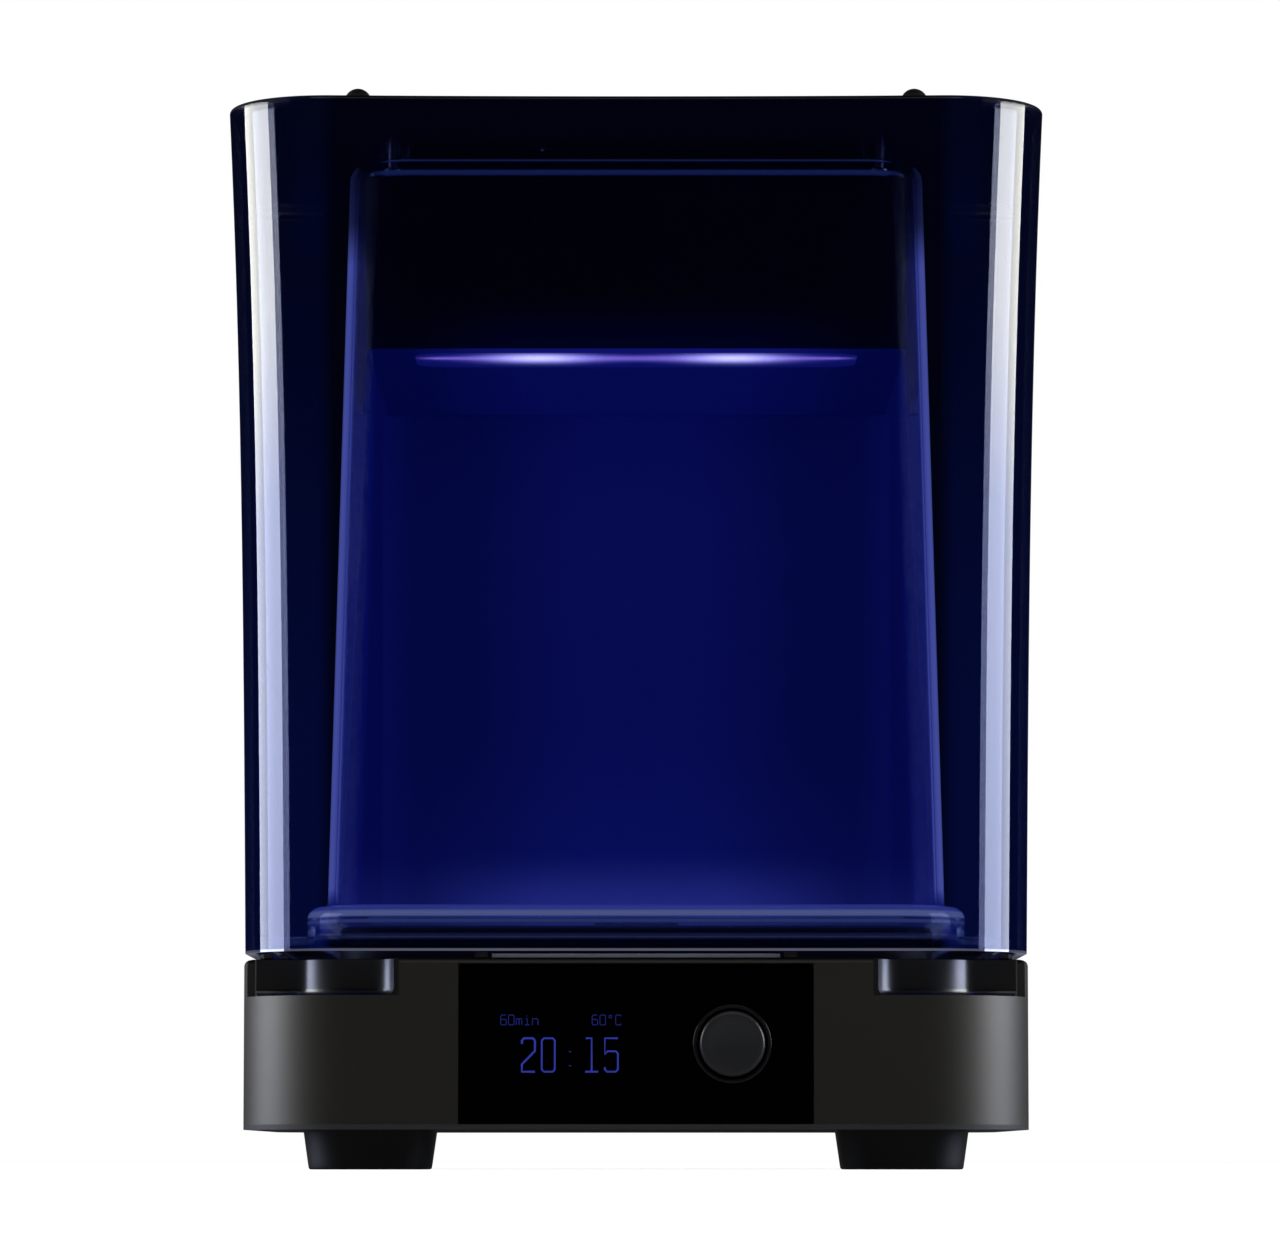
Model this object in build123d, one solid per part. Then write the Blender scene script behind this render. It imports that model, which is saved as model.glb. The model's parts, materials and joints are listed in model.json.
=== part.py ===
from build123d import *
import os
from math import cos, pi, radians, sin, tan

# Desktop light curing unit: a base with the controls, a fixed rear tower that carries the lamp
# housing, and a tinted hood with a clear liner that swings up about a hinge at its top rear edge.
# Millimetres. The front faces -Y, +X is to the right, +Z is up, and z = 0 is the floor.

# Base
base_width = 251.2
base_depth = 250.0
base_height = 52.5
base_wall = 4.0
corner_radius = 34.0
base_edge = 2.0
sill_inset = 5.0
sill_width = 2.4
sill_height = 1.8
bottom_plate_thickness = 1.6
bottom_screw_length = 8.0
bottom_screw_margin = 1.5
bottom_screw_y = 44.0
bottom_screw_x = 30.0

# Feet
foot_height = 12.6
foot_width = 42.3
foot_depth = 46.0
foot_taper = 1.8
foot_corner = 14.0
foot_margin_x = 40.4
foot_margin_y = 41.0
rear_foot_shift = 6.5

# Hood and rear tower, which share one flared outline
hood_gap = 2.1
hood_height = 272.2
hood_rim_inset = 0.3
hood_flare_x = 6.3
hood_flare_y = 6.3
hood_wall = 3.0
rim_fillet = 1.4
flare_straight_share = 0.45
flare_sections = 5
tower_depth = 41.0
tower_wall = 3.0
seam_gap = 1.0

# Hood liner, a drafted inner shell with a stepped skirt and a flange at its foot
liner_wall = 2.5
liner_side_space = 25.9
liner_front_space = 21.7
liner_draft_x = 6.0
liner_draft_y = 7.0
liner_corner = 20.0
liner_top_fillet = 5.0
liner_headroom = 14.5
liner_foot_height = 15.2
liner_seam = 2.5
skirt_step = 6.5
skirt_height = 13.0
skirt_fillet = 4.0
flange_thickness = 2.4
flange_glue_gap = 0.25

# Hood hardware
spacer_margin_x = 14.3
spacer_margin_front = 10.0
spacer_margin_rear = 34.0
spacer_radius = 2.6
spacer_pad_width = 7.4
spacer_pad_depth = 6.0
spacer_pad_height = 2.4
spacer_screw_head = 0.8
dome_margin_x = 42.5
dome_margin_y = 14.0
dome_radius = 4.4
dome_height = 4.0
magnet_radius = 3.0
magnet_height = 2.0
magnet_margin = 12.7

# Hood hinge
hinge_setback = 2.0
knuckle_radius = 2.6
knuckle_count = 9
knuckle_gap = 0.4
hinge_end_margin = 21.0
hinge_pin_radius = 1.2
hinge_pin_clearance = 0.05
leaf_thickness = 1.5
leaf_gap = 0.1
leaf_setback = 0.4
hood_leaf_depth = 28.0
rear_leaf_depth = 19.0
leaf_screw_margin = 17.0
leaf_screw_grip = 1.6
sweep_clearance = 0.4

# Screws
screw_shank = 1.5
screw_head = 2.8
screw_head_height = 1.6
flush_head_height = 1.0
screw_clearance = 0.1
screw_head_clearance = 0.6
steel_fit = 0.02

# Finger grips in the base's upper edge
grip_height = 11.9
grip_inner_x = 74.8
grip_depth = 15.5
grip_side_reach = 23.6
grip_wall = 2.4
grip_floor = 2.0
grip_return = 1.6
grip_return_radius = 8.0
grip_end_radius = 6.0
grip_floor_radius = 2.5
grip_edge_inset = 2.2
grip_fit = 0.3
grip_headroom = 0.2

# Control panel in the front of the base
panel_width = 111.2
panel_height = 50.0
panel_thickness = 2.5
panel_gap = 0.4
panel_bottom_margin = 0.3
panel_corner = 1.0
display_x = -24.0
display_rise = 25.5
display_width = 44.0
display_height = 25.0
display_lip = 1.0
display_gap = 0.2
pocket_clearance = 0.1
control_board_width = 104.0
control_board_height = 40.0
board_thickness = 1.6
encoder_size = 12.0
encoder_depth = 7.0
knob_x = 30.3
knob_rise = 24.9
knob_radius = 10.3
knob_length = 4.5
knob_dish = 0.8
knob_dish_radius = 8.2
knob_edge = 1.2
knob_face = 1.6
knob_travel = 0.6
knob_rest_gap = 0.4
bezel_radius = 12.4
bezel_width = 1.2
bezel_height = 0.6
encoder_shaft_radius = 3.0
encoder_flat = 1.6
encoder_clearance = 0.05
bushing_radius = 4.2
bushing_reach = 1.4
bushing_clearance = 0.3
rotor_radius = 4.6
rotor_length = 2.0
rotor_start = 2.0
rotor_side_gap = 0.2
encoder_floor = 0.8
shaft_round_end = 1.2
shaft_tail = 3.4
post_radius = 2.4

# Chamber floor and turntable
turntable_y = -5.0
deck_side_gap = 7.8
deck_front_gap = 9.0
deck_seam = 3.0
deck_height = 11.1
deck_wall = 3.0
deck_corner = 20.0
deck_edge = 2.0
floor_ledge_x = 7.0
floor_ledge_y = 4.0
floor_opening_corner = 8.0
platter_radius = 90.0
platter_thickness = 2.5
platter_gap = 4.3
platter_edge = 0.6
hub_radius = 14.0
hub_flange = 2.4
hub_boss_radius = 7.0
hub_spigot_radius = 5.0
hub_clearance = 0.1
lower_window_radius = 59.7
lower_window_thickness = 1.5
lower_window_bore = 9.0
window_ledge = 3.7
window_clearance = 0.3
lower_board_bore = 12.0
lower_led_circle = 33.0
lower_led_count = 5
lower_board_drop = 1.8
lower_boss_offset = 1.4
lower_boss_root = 1.4
lower_screw_bite = 1.2
led_size = 4.2
led_height = 1.2
heatsink_plate = 4.0
lower_fin_height = 6.0
lower_sink_overlap = 1.6
lower_fin_pitch = 15.0
lower_fin_side_rows = 3
fin_end_gap = 1.0
fin_thickness = 1.6

# Turntable motor
motor_shaft_radius = 3.0
motor_shaft_clearance = 0.05
gearbox_radius = 18.5
gearbox_height = 12.0
motor_can_radius = 12.0
motor_can_height = 20.0
motor_boss_radius = 5.6
motor_boss_height = 3.0
motor_boss_clearance = 0.2
gearbox_floor = 2.0
shaft_end_gap = 0.4
bracket_thickness = 2.0
bracket_half_length = 64.0
bracket_width = 28.0
bracket_drop = 16.8

# Lamp housing over the chamber
lamp_side_gap = 2.0
lamp_front_space = 15.5
lamp_taper = 1.2
lamp_height = 56.5
lamp_top_gap = 1.5
lamp_reach = 11.0
lamp_wall = 2.5
lamp_corner = 3.0
lamp_flange = 5.0
lamp_fit = 0.4
lamp_window_margin = 14.7
lamp_window_depth = 36.0
lamp_window_setback = 26.0
lamp_window_thickness = 2.0
lamp_window_corner = 10.0
lamp_cluster_x = 32.0
lamp_led_pitch = 8.0
lamp_board_margin = 2.0
lamp_board_depth = 42.0
lamp_boss_inset_x = 4.0
lamp_boss_inset_y = 2.0
lamp_board_gap = 3.6
upper_fin_height = 20.0
upper_fin_count = 15
boss_radius = 3.2

# Fans
lamp_fan_size = 44.0
lamp_fan_thickness = 11.0
heater_fan_size = 36.0
heater_fan_thickness = 10.0
fan_blades = 7
fan_blade_thickness = 1.2
fan_tip_gap = 0.7
fan_pin_radius = 1.5
fan_pin_clearance = 0.05
fan_wall = 2.0
fan_corner = 3.0
fan_hub_share = 0.2
fan_plate = 1.6
fan_arms = 3
fan_arm_width = 2.4
fan_end_gap = 0.6
fan_front_gap = 0.8
fan_pin_drop = 2.0
fan_pin_gap = 0.4
fan_hole_inset = 3.4
fan_hole_radius = 1.2
fan_blade_pitch = 38.0

# Heater under the chamber floor
heater_margin_x = 29.5
heater_margin_y = 27.5
heater_top_gap = 2.0
heater_height = 14.0
heater_fin_count = 9
heater_fin = 1.0
heater_frame = 2.0
duct_wall = 1.6
duct_height = 28.0
duct_clearance = 0.3
slot_width = 2.6
slot_pitch = 6.0
slot_length = 30.0
slot_count = 5

# Boards, inlet, wiring and vents
main_board_margin_x = 63.0
main_board_margin_y = 97.0
main_board_width = 76.0
main_board_depth = 130.0
standoff_height = 5.0
standoff_radius = 3.0
inlet_margin_x = 41.0
inlet_rise = 19.8
inlet_size = 13.0
inlet_depth = 14.0
inlet_bore_radius = 3.0
inlet_bore_length = 9.0
inlet_nose_radius = 4.6
inlet_clearance = 0.2
wiring_radius = 2.6
wiring_x = 48.0
wiring_setback = 18.0
wiring_offset = 24.0
wiring_rise = 14.0
wiring_reach = 40.0
terminal_height = 8.0
capacitor_radius = 6.5
capacitor_height = 16.0
capacitor_count = 2
capacitor_pitch = 15.0
coil_size = 14.0
chip_size = 12.0
chip_height = 1.4
vent_columns = 2
vent_rows = 9
vent_slot_width = 62.0
vent_slot_height = 3.0
vent_pitch = 7.5
vent_drop = 109.0
vent_column_gap = 10.0
base_vent_rise = 14.0
base_vent_width = 40.0
reflector_thickness = 1.5
reflector_half_width = 89.5
back_wall_thickness = 2.5
back_wall_fit = 0.2
reflector_gap = 1.0

# Seals and bumpers on the base's top
seal_half_length = 45.5
seal_width = 2.0
seal_height = 1.3
seal_inset = 2.2
bumper_offset = 3.3
bumper_width = 4.0
bumper_depth = 5.0
bumper_setback = 1.2
rest_clearance = 0.2
sensor_width = 6.0
sensor_length = 16.0
sensor_height = 4.0

# Planes, widths and heights that follow from these sizes
hood_bottom_width = base_width - 2 * hood_rim_inset
hood_bottom_depth = base_depth - 2 * hood_rim_inset
hood_top_width = hood_bottom_width + 2 * hood_flare_x
hood_top_depth = hood_bottom_depth + 2 * hood_flare_y
tower_front_y = hood_top_depth / 2 - tower_depth
hood_rear_y = tower_front_y - seam_gap
liner_rear_y = tower_front_y - liner_seam
hinge_y = tower_front_y + hinge_setback
hinge_length = hood_top_width - 2 * hinge_end_margin
leaf_screw_x = hinge_length / 2 - leaf_screw_margin
liner_bottom_half_width = hood_bottom_width / 2 - liner_side_space
liner_bottom_half_depth = hood_bottom_depth / 2 - liner_front_space
liner_top_half_width = liner_bottom_half_width - liner_draft_x
liner_top_half_depth = liner_bottom_half_depth - liner_draft_y
skirt_half_width = liner_bottom_half_width + skirt_step
skirt_half_depth = liner_bottom_half_depth + skirt_step
spacer_x = liner_top_half_width - spacer_margin_x
spacer_front_y = spacer_margin_front - liner_top_half_depth
spacer_rear_y = tower_front_y - spacer_margin_rear
dome_x = hood_top_width / 2 - dome_margin_x
dome_y = dome_margin_y - hood_top_depth / 2
magnet_x = hood_bottom_width / 2 - magnet_margin
foot_x = base_width / 2 - foot_margin_x
foot_y = base_depth / 2 - foot_margin_y
deck_half_width = skirt_half_width - liner_wall - deck_side_gap
deck_front_y = deck_front_gap + liner_wall - skirt_half_depth
deck_rear_y = tower_front_y - deck_seam
deck_middle_y = (deck_front_y + deck_rear_y) / 2
lamp_top_half_width = liner_top_half_width - liner_wall - lamp_side_gap
lamp_bottom_half_width = lamp_top_half_width - lamp_taper
lamp_front_y = lamp_front_space + liner_wall - liner_top_half_depth
lamp_rear_y = tower_front_y + lamp_reach
lamp_window_y = lamp_front_y + lamp_window_setback
lamp_window_width = 2 * (lamp_bottom_half_width - lamp_window_margin)
lamp_board_width = lamp_window_width + 2 * lamp_board_margin
heater_x = heater_margin_x - deck_half_width
heater_y = deck_rear_y - heater_margin_y
main_board_x = base_width / 2 - main_board_margin_x
main_board_y = base_depth / 2 - main_board_margin_y
inlet_x = base_width / 2 - inlet_margin_x
wiring_y = tower_front_y + wiring_setback
bumper_x = seal_half_length + bumper_offset
plate_bottom = foot_height
base_bottom = plate_bottom + bottom_plate_thickness
base_top = base_bottom + base_height
hood_bottom = base_top + hood_gap
hood_top = hood_bottom + hood_height
hood_ceiling = hood_top - hood_wall
base_front = -base_depth / 2
grip_rear_y = base_front + grip_side_reach
base_rear = base_depth / 2
liner_top = hood_top - liner_headroom
liner_foot = hood_bottom + liner_foot_height
skirt_bottom = liner_foot - skirt_height
hinge_z = hood_ceiling
hood_edge_sweep = ((hinge_y - hood_rear_y) ** 2 + (hood_top - hinge_z) ** 2) ** 0.5
tower_roof_y = hinge_y + hood_edge_sweep + sweep_clearance
hinge_notch_z = hinge_z - knuckle_radius - sweep_clearance
grip_bottom = base_top - grip_height
panel_bottom = base_bottom + panel_bottom_margin
panel_middle = panel_bottom + panel_height / 2
display_z = panel_bottom + display_rise
knob_z = panel_bottom + knob_rise
knob_standoff = knob_travel + knob_rest_gap
inlet_z = base_bottom + inlet_rise
vent_z = hood_top - vent_drop
back_wall_rear = tower_front_y + back_wall_thickness
panel_pocket = panel_thickness + pocket_clearance
ledge_thickness = base_wall - panel_pocket
ledge_back = base_front + base_wall
board_face = ledge_back + encoder_depth
deck_top = base_top + deck_height
deck_under = deck_top - deck_wall
platter_bottom = deck_top + platter_gap
lower_board_top = deck_under - lower_board_drop
lower_board_bottom = lower_board_top - board_thickness
lower_sink_bottom = lower_board_bottom - heatsink_plate
lower_sink_radius = lower_window_radius + lower_sink_overlap
bracket_bottom = deck_under - bracket_drop
lamp_top = liner_top - liner_wall - lamp_top_gap
lamp_bottom = lamp_top - lamp_height
lamp_board_bottom = lamp_bottom + lamp_window_thickness + lamp_board_gap
lamp_sink_bottom = lamp_board_bottom + board_thickness
lamp_fan_bottom = lamp_sink_bottom + heatsink_plate + upper_fin_height
heater_top = deck_under - heater_top_gap
heater_fan_bottom = deck_under - duct_height
main_board_z = base_bottom + standoff_height
reach = 3 * hood_top_width


def block(size_x, size_y, size_z, x=0.0, y=0.0, z=0.0):
    # A box centred on x and y, with its underside at z.
    return Pos(x, y, z) * Box(size_x, size_y, size_z, align=(Align.CENTER, Align.CENTER, Align.MIN))


def rod(radius, length, x=0.0, y=0.0, z=0.0):
    # An upright cylinder with its underside at z.
    return Pos(x, y, z) * Cylinder(radius, length, align=(Align.CENTER, Align.CENTER, Align.MIN))


def rod_y(radius, length, x, y, z):
    # A cylinder along +Y that starts at y.
    lying = Rot(-90, 0, 0) * Cylinder(radius, length, align=(Align.CENTER, Align.CENTER, Align.MIN))
    return Pos(x, y, z) * lying


def rod_x(radius, length, x, y, z):
    # A cylinder along +X that starts at x.
    lying = Rot(0, 90, 0) * Cylinder(radius, length, align=(Align.CENTER, Align.CENTER, Align.MIN))
    return Pos(x, y, z) * lying


def slab(width, depth, radius, z, height, y=0.0):
    # A plate with rounded corners, centred on x = 0, with its underside at z.
    return Pos(0, y, z) * extrude(RectangleRounded(width, depth, radius), height)


def between_y(low, high):
    # All space between two planes across Y.
    return block(reach, high - low, reach, 0, (low + high) / 2, -reach / 4)


def group(pieces):
    # Separate solids kept together in one node.
    return Compound([solid for piece in pieces for solid in piece.solids()])


def mirrored(piece):
    return mirror(piece, about=Plane.YZ)


def grid(x, y):
    # The four corners of a rectangle centred on the origin.
    return [(sx * x, sy * y) for sx in (-1, 1) for sy in (-1, 1)]


def screw_up(x, y, z, length):
    # A screw driven upwards: its head hangs below z and its shank rises from z.
    return rod(screw_head, screw_head_height, x, y, z - screw_head_height) + rod(screw_shank, length, x, y, z)


def flush_screw(x, y, z, length):
    # A screw driven upwards whose thin head lies in the plate that starts at z.
    head = rod(screw_head, flush_head_height, x, y, z)
    return head + rod(screw_shank, length - flush_head_height, x, y, z + flush_head_height)


def screw_hole(x, y, z, length):
    return rod(screw_shank + screw_clearance, length, x, y, z)


def form_size(z, bottom, top):
    # The flared outline's width or depth at height z.
    share = (z - hood_bottom) / (hood_top - hood_bottom)
    flare = flare_straight_share * share + (1 - flare_straight_share) * share ** 3
    return bottom + (top - bottom) * flare


def flared_body(inset, z_low, z_high):
    sections = []
    for step in range(flare_sections + 1):
        z = z_low + (z_high - z_low) * step / flare_sections
        width = form_size(z, hood_bottom_width, hood_top_width) - 2 * inset
        depth = form_size(z, hood_bottom_depth, hood_top_depth) - 2 * inset
        sections.append(Pos(0, 0, z) * RectangleRounded(width, depth, corner_radius - inset))
    return loft(sections)


def drafted_body(top_x, top_y, bottom_x, bottom_y, radius, z_low, z_high):
    # A straight-sided form between two rounded rectangles given by their half sizes.
    low = Pos(0, 0, z_low) * RectangleRounded(2 * bottom_x, 2 * bottom_y, radius)
    high = Pos(0, 0, z_high) * RectangleRounded(2 * top_x, 2 * top_y, radius)
    return loft([low, high])


def carried_back(form, y_end):
    # The front half of a form, with its section at y = 0 carried straight back to y_end.
    half = form & between_y(-reach / 2, 0)
    section = half.faces().sort_by(Axis.Y)[-1]
    return half + extrude(section, y_end, dir=(0, 1, 0))


def outer_form(z_low):
    # The flared outline of hood and tower with its softened top edge.
    body = flared_body(0, z_low, hood_top)
    return fillet(body.faces().sort_by(Axis.Z)[-1].edges(), rim_fillet)


# Base

def base_outline(inset=0.0):
    return RectangleRounded(base_width - 2 * inset, base_depth - 2 * inset, corner_radius - inset)


def grip_opening():
    # Plan of the hole that the left grip insert fills.
    left = base_width
    end = Pos(-grip_inner_x - left / 2, grip_rear_y - base_depth / 2) * Rectangle(left, base_depth)
    return end - base_outline(grip_depth + grip_wall)


def grip_recess():
    # The finger space in front of the left grip insert, rounded at its ends and along its floor.
    left = base_width
    end_x = -grip_inner_x - grip_return
    end_y = grip_rear_y - grip_return
    plan = Pos(end_x - left / 2, end_y - base_depth / 2) * Rectangle(left, base_depth)
    plan -= base_outline(grip_depth)
    inner_end = (end_x, base_front + grip_depth, 0)
    outer_end = (grip_depth - base_width / 2, end_y, 0)
    for place, radius in ((inner_end, grip_return_radius), (outer_end, grip_end_radius)):
        corner = plan.vertices().sort_by_distance(place)[0]
        plan = fillet(corner, radius)
    space = Pos(0, 0, grip_bottom) * extrude(plan, 2 * grip_height)
    return fillet(space.faces().sort_by(Axis.Z)[0].edges(), grip_floor_radius)


def hood_sill():
    # The low edge along each side of the base, just inside the hood's walls.
    ring = base_outline(sill_inset) - base_outline(sill_inset + sill_width)
    length = deck_rear_y - grip_rear_y
    sides = Pos(0, grip_rear_y + length / 2) * Rectangle(base_width, length)
    return Pos(0, 0, base_top - base_edge) * extrude(ring & sides, base_edge + sill_height)


def base_housing():
    shell = Pos(0, 0, base_bottom) * extrude(base_outline(), base_height)
    shell = fillet(shell.faces().sort_by(Axis.Z)[-1].edges(), base_edge)
    shell += hood_sill()
    shell -= Pos(0, 0, base_bottom) * extrude(base_outline(base_wall), base_height - base_wall)
    opening_x = 2 * (deck_half_width - floor_ledge_x)
    opening_y = deck_rear_y - deck_front_y - 2 * floor_ledge_y
    shell -= slab(opening_x, opening_y, floor_opening_corner, base_bottom, reach, deck_middle_y)
    shaft_low = back_wall_rear + base_wall / 2
    shaft_high = base_rear - 2 * base_wall
    shell -= block(4 * wiring_x, shaft_high - shaft_low, reach, 0, (shaft_low + shaft_high) / 2, base_bottom)
    opening = Pos(0, 0, grip_bottom) * extrude(grip_opening(), grip_height)
    shell -= opening
    shell -= mirrored(opening)
    shell -= Pos(0, base_front + panel_pocket / 2, panel_middle) * Box(
        panel_width + 2 * panel_gap, panel_pocket, panel_height + 2 * panel_bottom_margin)
    shell -= Pos(display_x, base_front, display_z) * Box(
        display_width - 2 * display_lip, 3 * base_wall, display_height - 2 * display_lip)
    shell -= rod_y(bushing_radius + bushing_clearance, 2 * base_wall, knob_x, base_front, knob_z)
    inlet_hole = inlet_nose_radius + inlet_clearance
    shell -= rod_y(inlet_hole, 3 * base_wall, inlet_x, base_rear - 2 * base_wall, inlet_z)
    for x, y in bottom_screw_places():
        shell += rod(boss_radius, base_height - base_wall, x, y, base_bottom)
        shell -= screw_hole(x, y, base_bottom, bottom_screw_length)
    for column in (-1, 0):
        x = (column + 0.5) * (base_vent_width + vent_column_gap) - vent_column_gap
        for row in range(vent_rows // 2):
            z = base_bottom + base_vent_rise + row * vent_pitch
            shell -= Pos(x, base_rear, z) * Box(base_vent_width, 3 * base_wall, vent_slot_height)
    return shell


def bottom_screw_places():
    edge_x = base_width / 2 - base_wall - boss_radius - bottom_screw_margin
    edge_y = base_depth / 2 - base_wall - boss_radius - bottom_screw_margin
    return grid(edge_x, bottom_screw_y) + [(-bottom_screw_x, edge_y), (bottom_screw_x, edge_y)]


def board_post_places():
    half_x = main_board_width / 2 - 2 * standoff_radius
    half_y = main_board_depth / 2 - 2 * standoff_radius
    return [(main_board_x + x, main_board_y + y) for x, y in grid(half_x, half_y)]


def bottom_plate():
    plate = Pos(0, 0, plate_bottom) * extrude(base_outline(), bottom_plate_thickness)
    for x, y in board_post_places():
        plate += rod(standoff_radius, standoff_height, x, y, base_bottom)
    for x, y in bottom_screw_places() + foot_places():
        plate -= screw_hole(x, y, plate_bottom, bottom_plate_thickness)
    for x, y in bottom_screw_places():
        plate -= rod(screw_head + screw_clearance, flush_head_height, x, y, plate_bottom)
    return plate


def bottom_screws():
    return group([flush_screw(x, y, plate_bottom, bottom_screw_length) for x, y in bottom_screw_places()])


def foot_places():
    # The front pair, then the rear pair, which stands wider.
    rear_x = foot_x + rear_foot_shift
    return [(-foot_x, -foot_y), (foot_x, -foot_y), (-rear_x, foot_y), (rear_x, foot_y)]


def foot(x, y):
    low = RectangleRounded(foot_width - 2 * foot_taper, foot_depth - 2 * foot_taper, foot_corner - foot_taper)
    high = RectangleRounded(foot_width, foot_depth, foot_corner)
    body = Pos(x, y, 0) * loft([low, Pos(0, 0, foot_height) * high])
    body -= rod(screw_head + screw_head_clearance, foot_height / 2, x, y, 0)
    return body - screw_hole(x, y, 0, foot_height)


def feet():
    return group([foot(x, y) for x, y in foot_places()])


def foot_screws():
    length = foot_height / 2 + bottom_plate_thickness
    return group([screw_up(x, y, foot_height / 2, length) for x, y in foot_places()])


def grip_insert():
    walls = extrude(grip_opening() & base_outline(grip_edge_inset), grip_height - grip_headroom)
    floor = extrude(grip_opening() & base_outline(base_wall + grip_fit), -grip_floor)
    return Pos(0, 0, grip_bottom) * (walls + floor) - grip_recess()


# Controls

def control_panel():
    middle = Pos(0, base_front + panel_thickness / 2, panel_middle)
    body = middle * Box(panel_width, panel_thickness, panel_height)
    body = fillet(body.edges().filter_by(Axis.Y), panel_corner)
    hole = bushing_radius + bushing_clearance
    return body - rod_y(hole, 3 * panel_thickness, knob_x, base_front - panel_thickness, knob_z)


def display_module():
    depth = board_face - ledge_back - display_gap
    return Pos(display_x, board_face - depth / 2, display_z) * Box(display_width, depth, display_height)


def control_board():
    y = board_face + board_thickness / 2
    board = Pos(0, y, panel_middle) * Box(control_board_width, board_thickness, control_board_height)
    for side in (-1, 1):
        x = side * (control_board_width / 2 - post_radius)
        board += rod_y(post_radius, encoder_depth, x, ledge_back, panel_middle)
    return board


def encoder_core(clearance):
    # The shaft's D-shaped section, along Y from y = 0.
    radius = encoder_shaft_radius + clearance
    shaft = rod_y(radius, encoder_depth, 0, 0, 0)
    cut_z = encoder_flat + clearance + radius
    return shaft - Pos(0, encoder_depth / 2, cut_z) * Box(4 * radius, 2 * encoder_depth, 2 * radius)


def encoder_body():
    y = ledge_back
    body = Pos(knob_x, y + encoder_depth / 2, knob_z) * Box(encoder_size, encoder_depth, encoder_size)
    front = y - ledge_thickness - bushing_reach
    body += rod_y(bushing_radius, y - front, knob_x, front, knob_z)
    bore = encoder_shaft_radius + encoder_clearance
    body -= rod_y(bore, y + encoder_depth - encoder_floor - front, knob_x, front, knob_z)
    body -= rod_y(rotor_radius + encoder_clearance, rotor_length + 2 * rotor_side_gap, knob_x,
                  y + rotor_start - rotor_side_gap, knob_z)
    return body


def encoder_rotor():
    y = ledge_back + rotor_start
    ring = rod_y(rotor_radius, rotor_length, knob_x, y, knob_z)
    return ring - Pos(knob_x, y - rotor_length / 2, knob_z) * encoder_core(encoder_clearance)


def encoder_shaft():
    start = base_front - knob_standoff - knob_length + knob_face
    round_length = ledge_back + shaft_round_end - start
    shaft = rod_y(encoder_shaft_radius, round_length, knob_x, start, knob_z)
    tail = encoder_core(0) & rod_y(encoder_shaft_radius, shaft_tail, 0, 0, 0)
    return shaft + Pos(knob_x, start + round_length, knob_z) * tail


def knob():
    front = base_front - knob_standoff - knob_length
    cap = rod_y(knob_radius, knob_length, knob_x, front, knob_z)
    cap = fillet(cap.edges().sort_by(Axis.Y)[0], knob_edge)
    dish_sphere = knob_dish_radius ** 2 / (2 * knob_dish)
    cap -= Pos(knob_x, front + knob_dish - dish_sphere, knob_z) * Sphere(dish_sphere)
    return cap - rod_y(encoder_shaft_radius + steel_fit, knob_length, knob_x, front + knob_face, knob_z)


def knob_bezel():
    ring = rod_y(bezel_radius, bezel_height, knob_x, base_front - bezel_height, knob_z)
    inner = bezel_radius - bezel_width
    return ring - rod_y(inner, 3 * bezel_height, knob_x, base_front - 2 * bezel_height, knob_z)


# Chamber floor and turntable

def chamber_deck():
    width = 2 * deck_half_width
    depth = deck_rear_y - deck_front_y
    tray = slab(width, depth, deck_corner, base_top, deck_height, deck_middle_y)
    tray = fillet(tray.faces().sort_by(Axis.Z)[-1].edges(), deck_edge)
    tray -= slab(width - 2 * deck_wall, depth - 2 * deck_wall, deck_corner - deck_wall,
                 base_top, deck_height - deck_wall, deck_middle_y)
    tray -= rod(lower_window_radius - window_ledge, reach, 0, turntable_y, deck_under)
    seat_bottom = deck_top - lower_window_thickness
    tray -= rod(lower_window_radius + window_clearance, reach, 0, turntable_y, seat_bottom)
    for x, y_boss in lower_boss_places():
        post = rod(boss_radius, lower_board_drop, x, y_boss, lower_board_top)
        tray += post + rod(boss_radius, lower_boss_root, x, y_boss, deck_under)
        tray -= screw_hole(x, y_boss, lower_board_top, lower_board_drop + lower_screw_bite)
    for slot in range(slot_count):
        y_slot = heater_y + (slot - (slot_count - 1) / 2) * slot_pitch
        tray -= block(slot_length, slot_width, reach, heater_x, y_slot, deck_under)
    return tray


def lower_boss_places():
    radius = lower_window_radius - window_ledge + lower_boss_offset
    side = radius * cos(radians(45))
    return [(x, turntable_y + y) for x, y in grid(side, side)]


def lower_window():
    disc = rod(lower_window_radius, lower_window_thickness, 0, turntable_y, deck_top - lower_window_thickness)
    return disc - rod(lower_window_bore, reach, 0, turntable_y, deck_under)


def lower_board():
    board = rod(lower_sink_radius, board_thickness, 0, turntable_y, lower_board_bottom)
    board -= rod(lower_board_bore, reach, 0, turntable_y, lower_board_bottom - board_thickness)
    for x, y in lower_boss_places():
        board -= screw_hole(x, y, lower_board_bottom, board_thickness)
    return board


def lower_leds():
    chips = []
    for index in range(lower_led_count):
        angle = 2 * pi * index / lower_led_count + pi / 2
        x = lower_led_circle * cos(angle)
        y = turntable_y + lower_led_circle * sin(angle)
        chips.append(block(led_size, led_size, led_height, x, y, lower_board_top))
    return group(chips)


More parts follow.
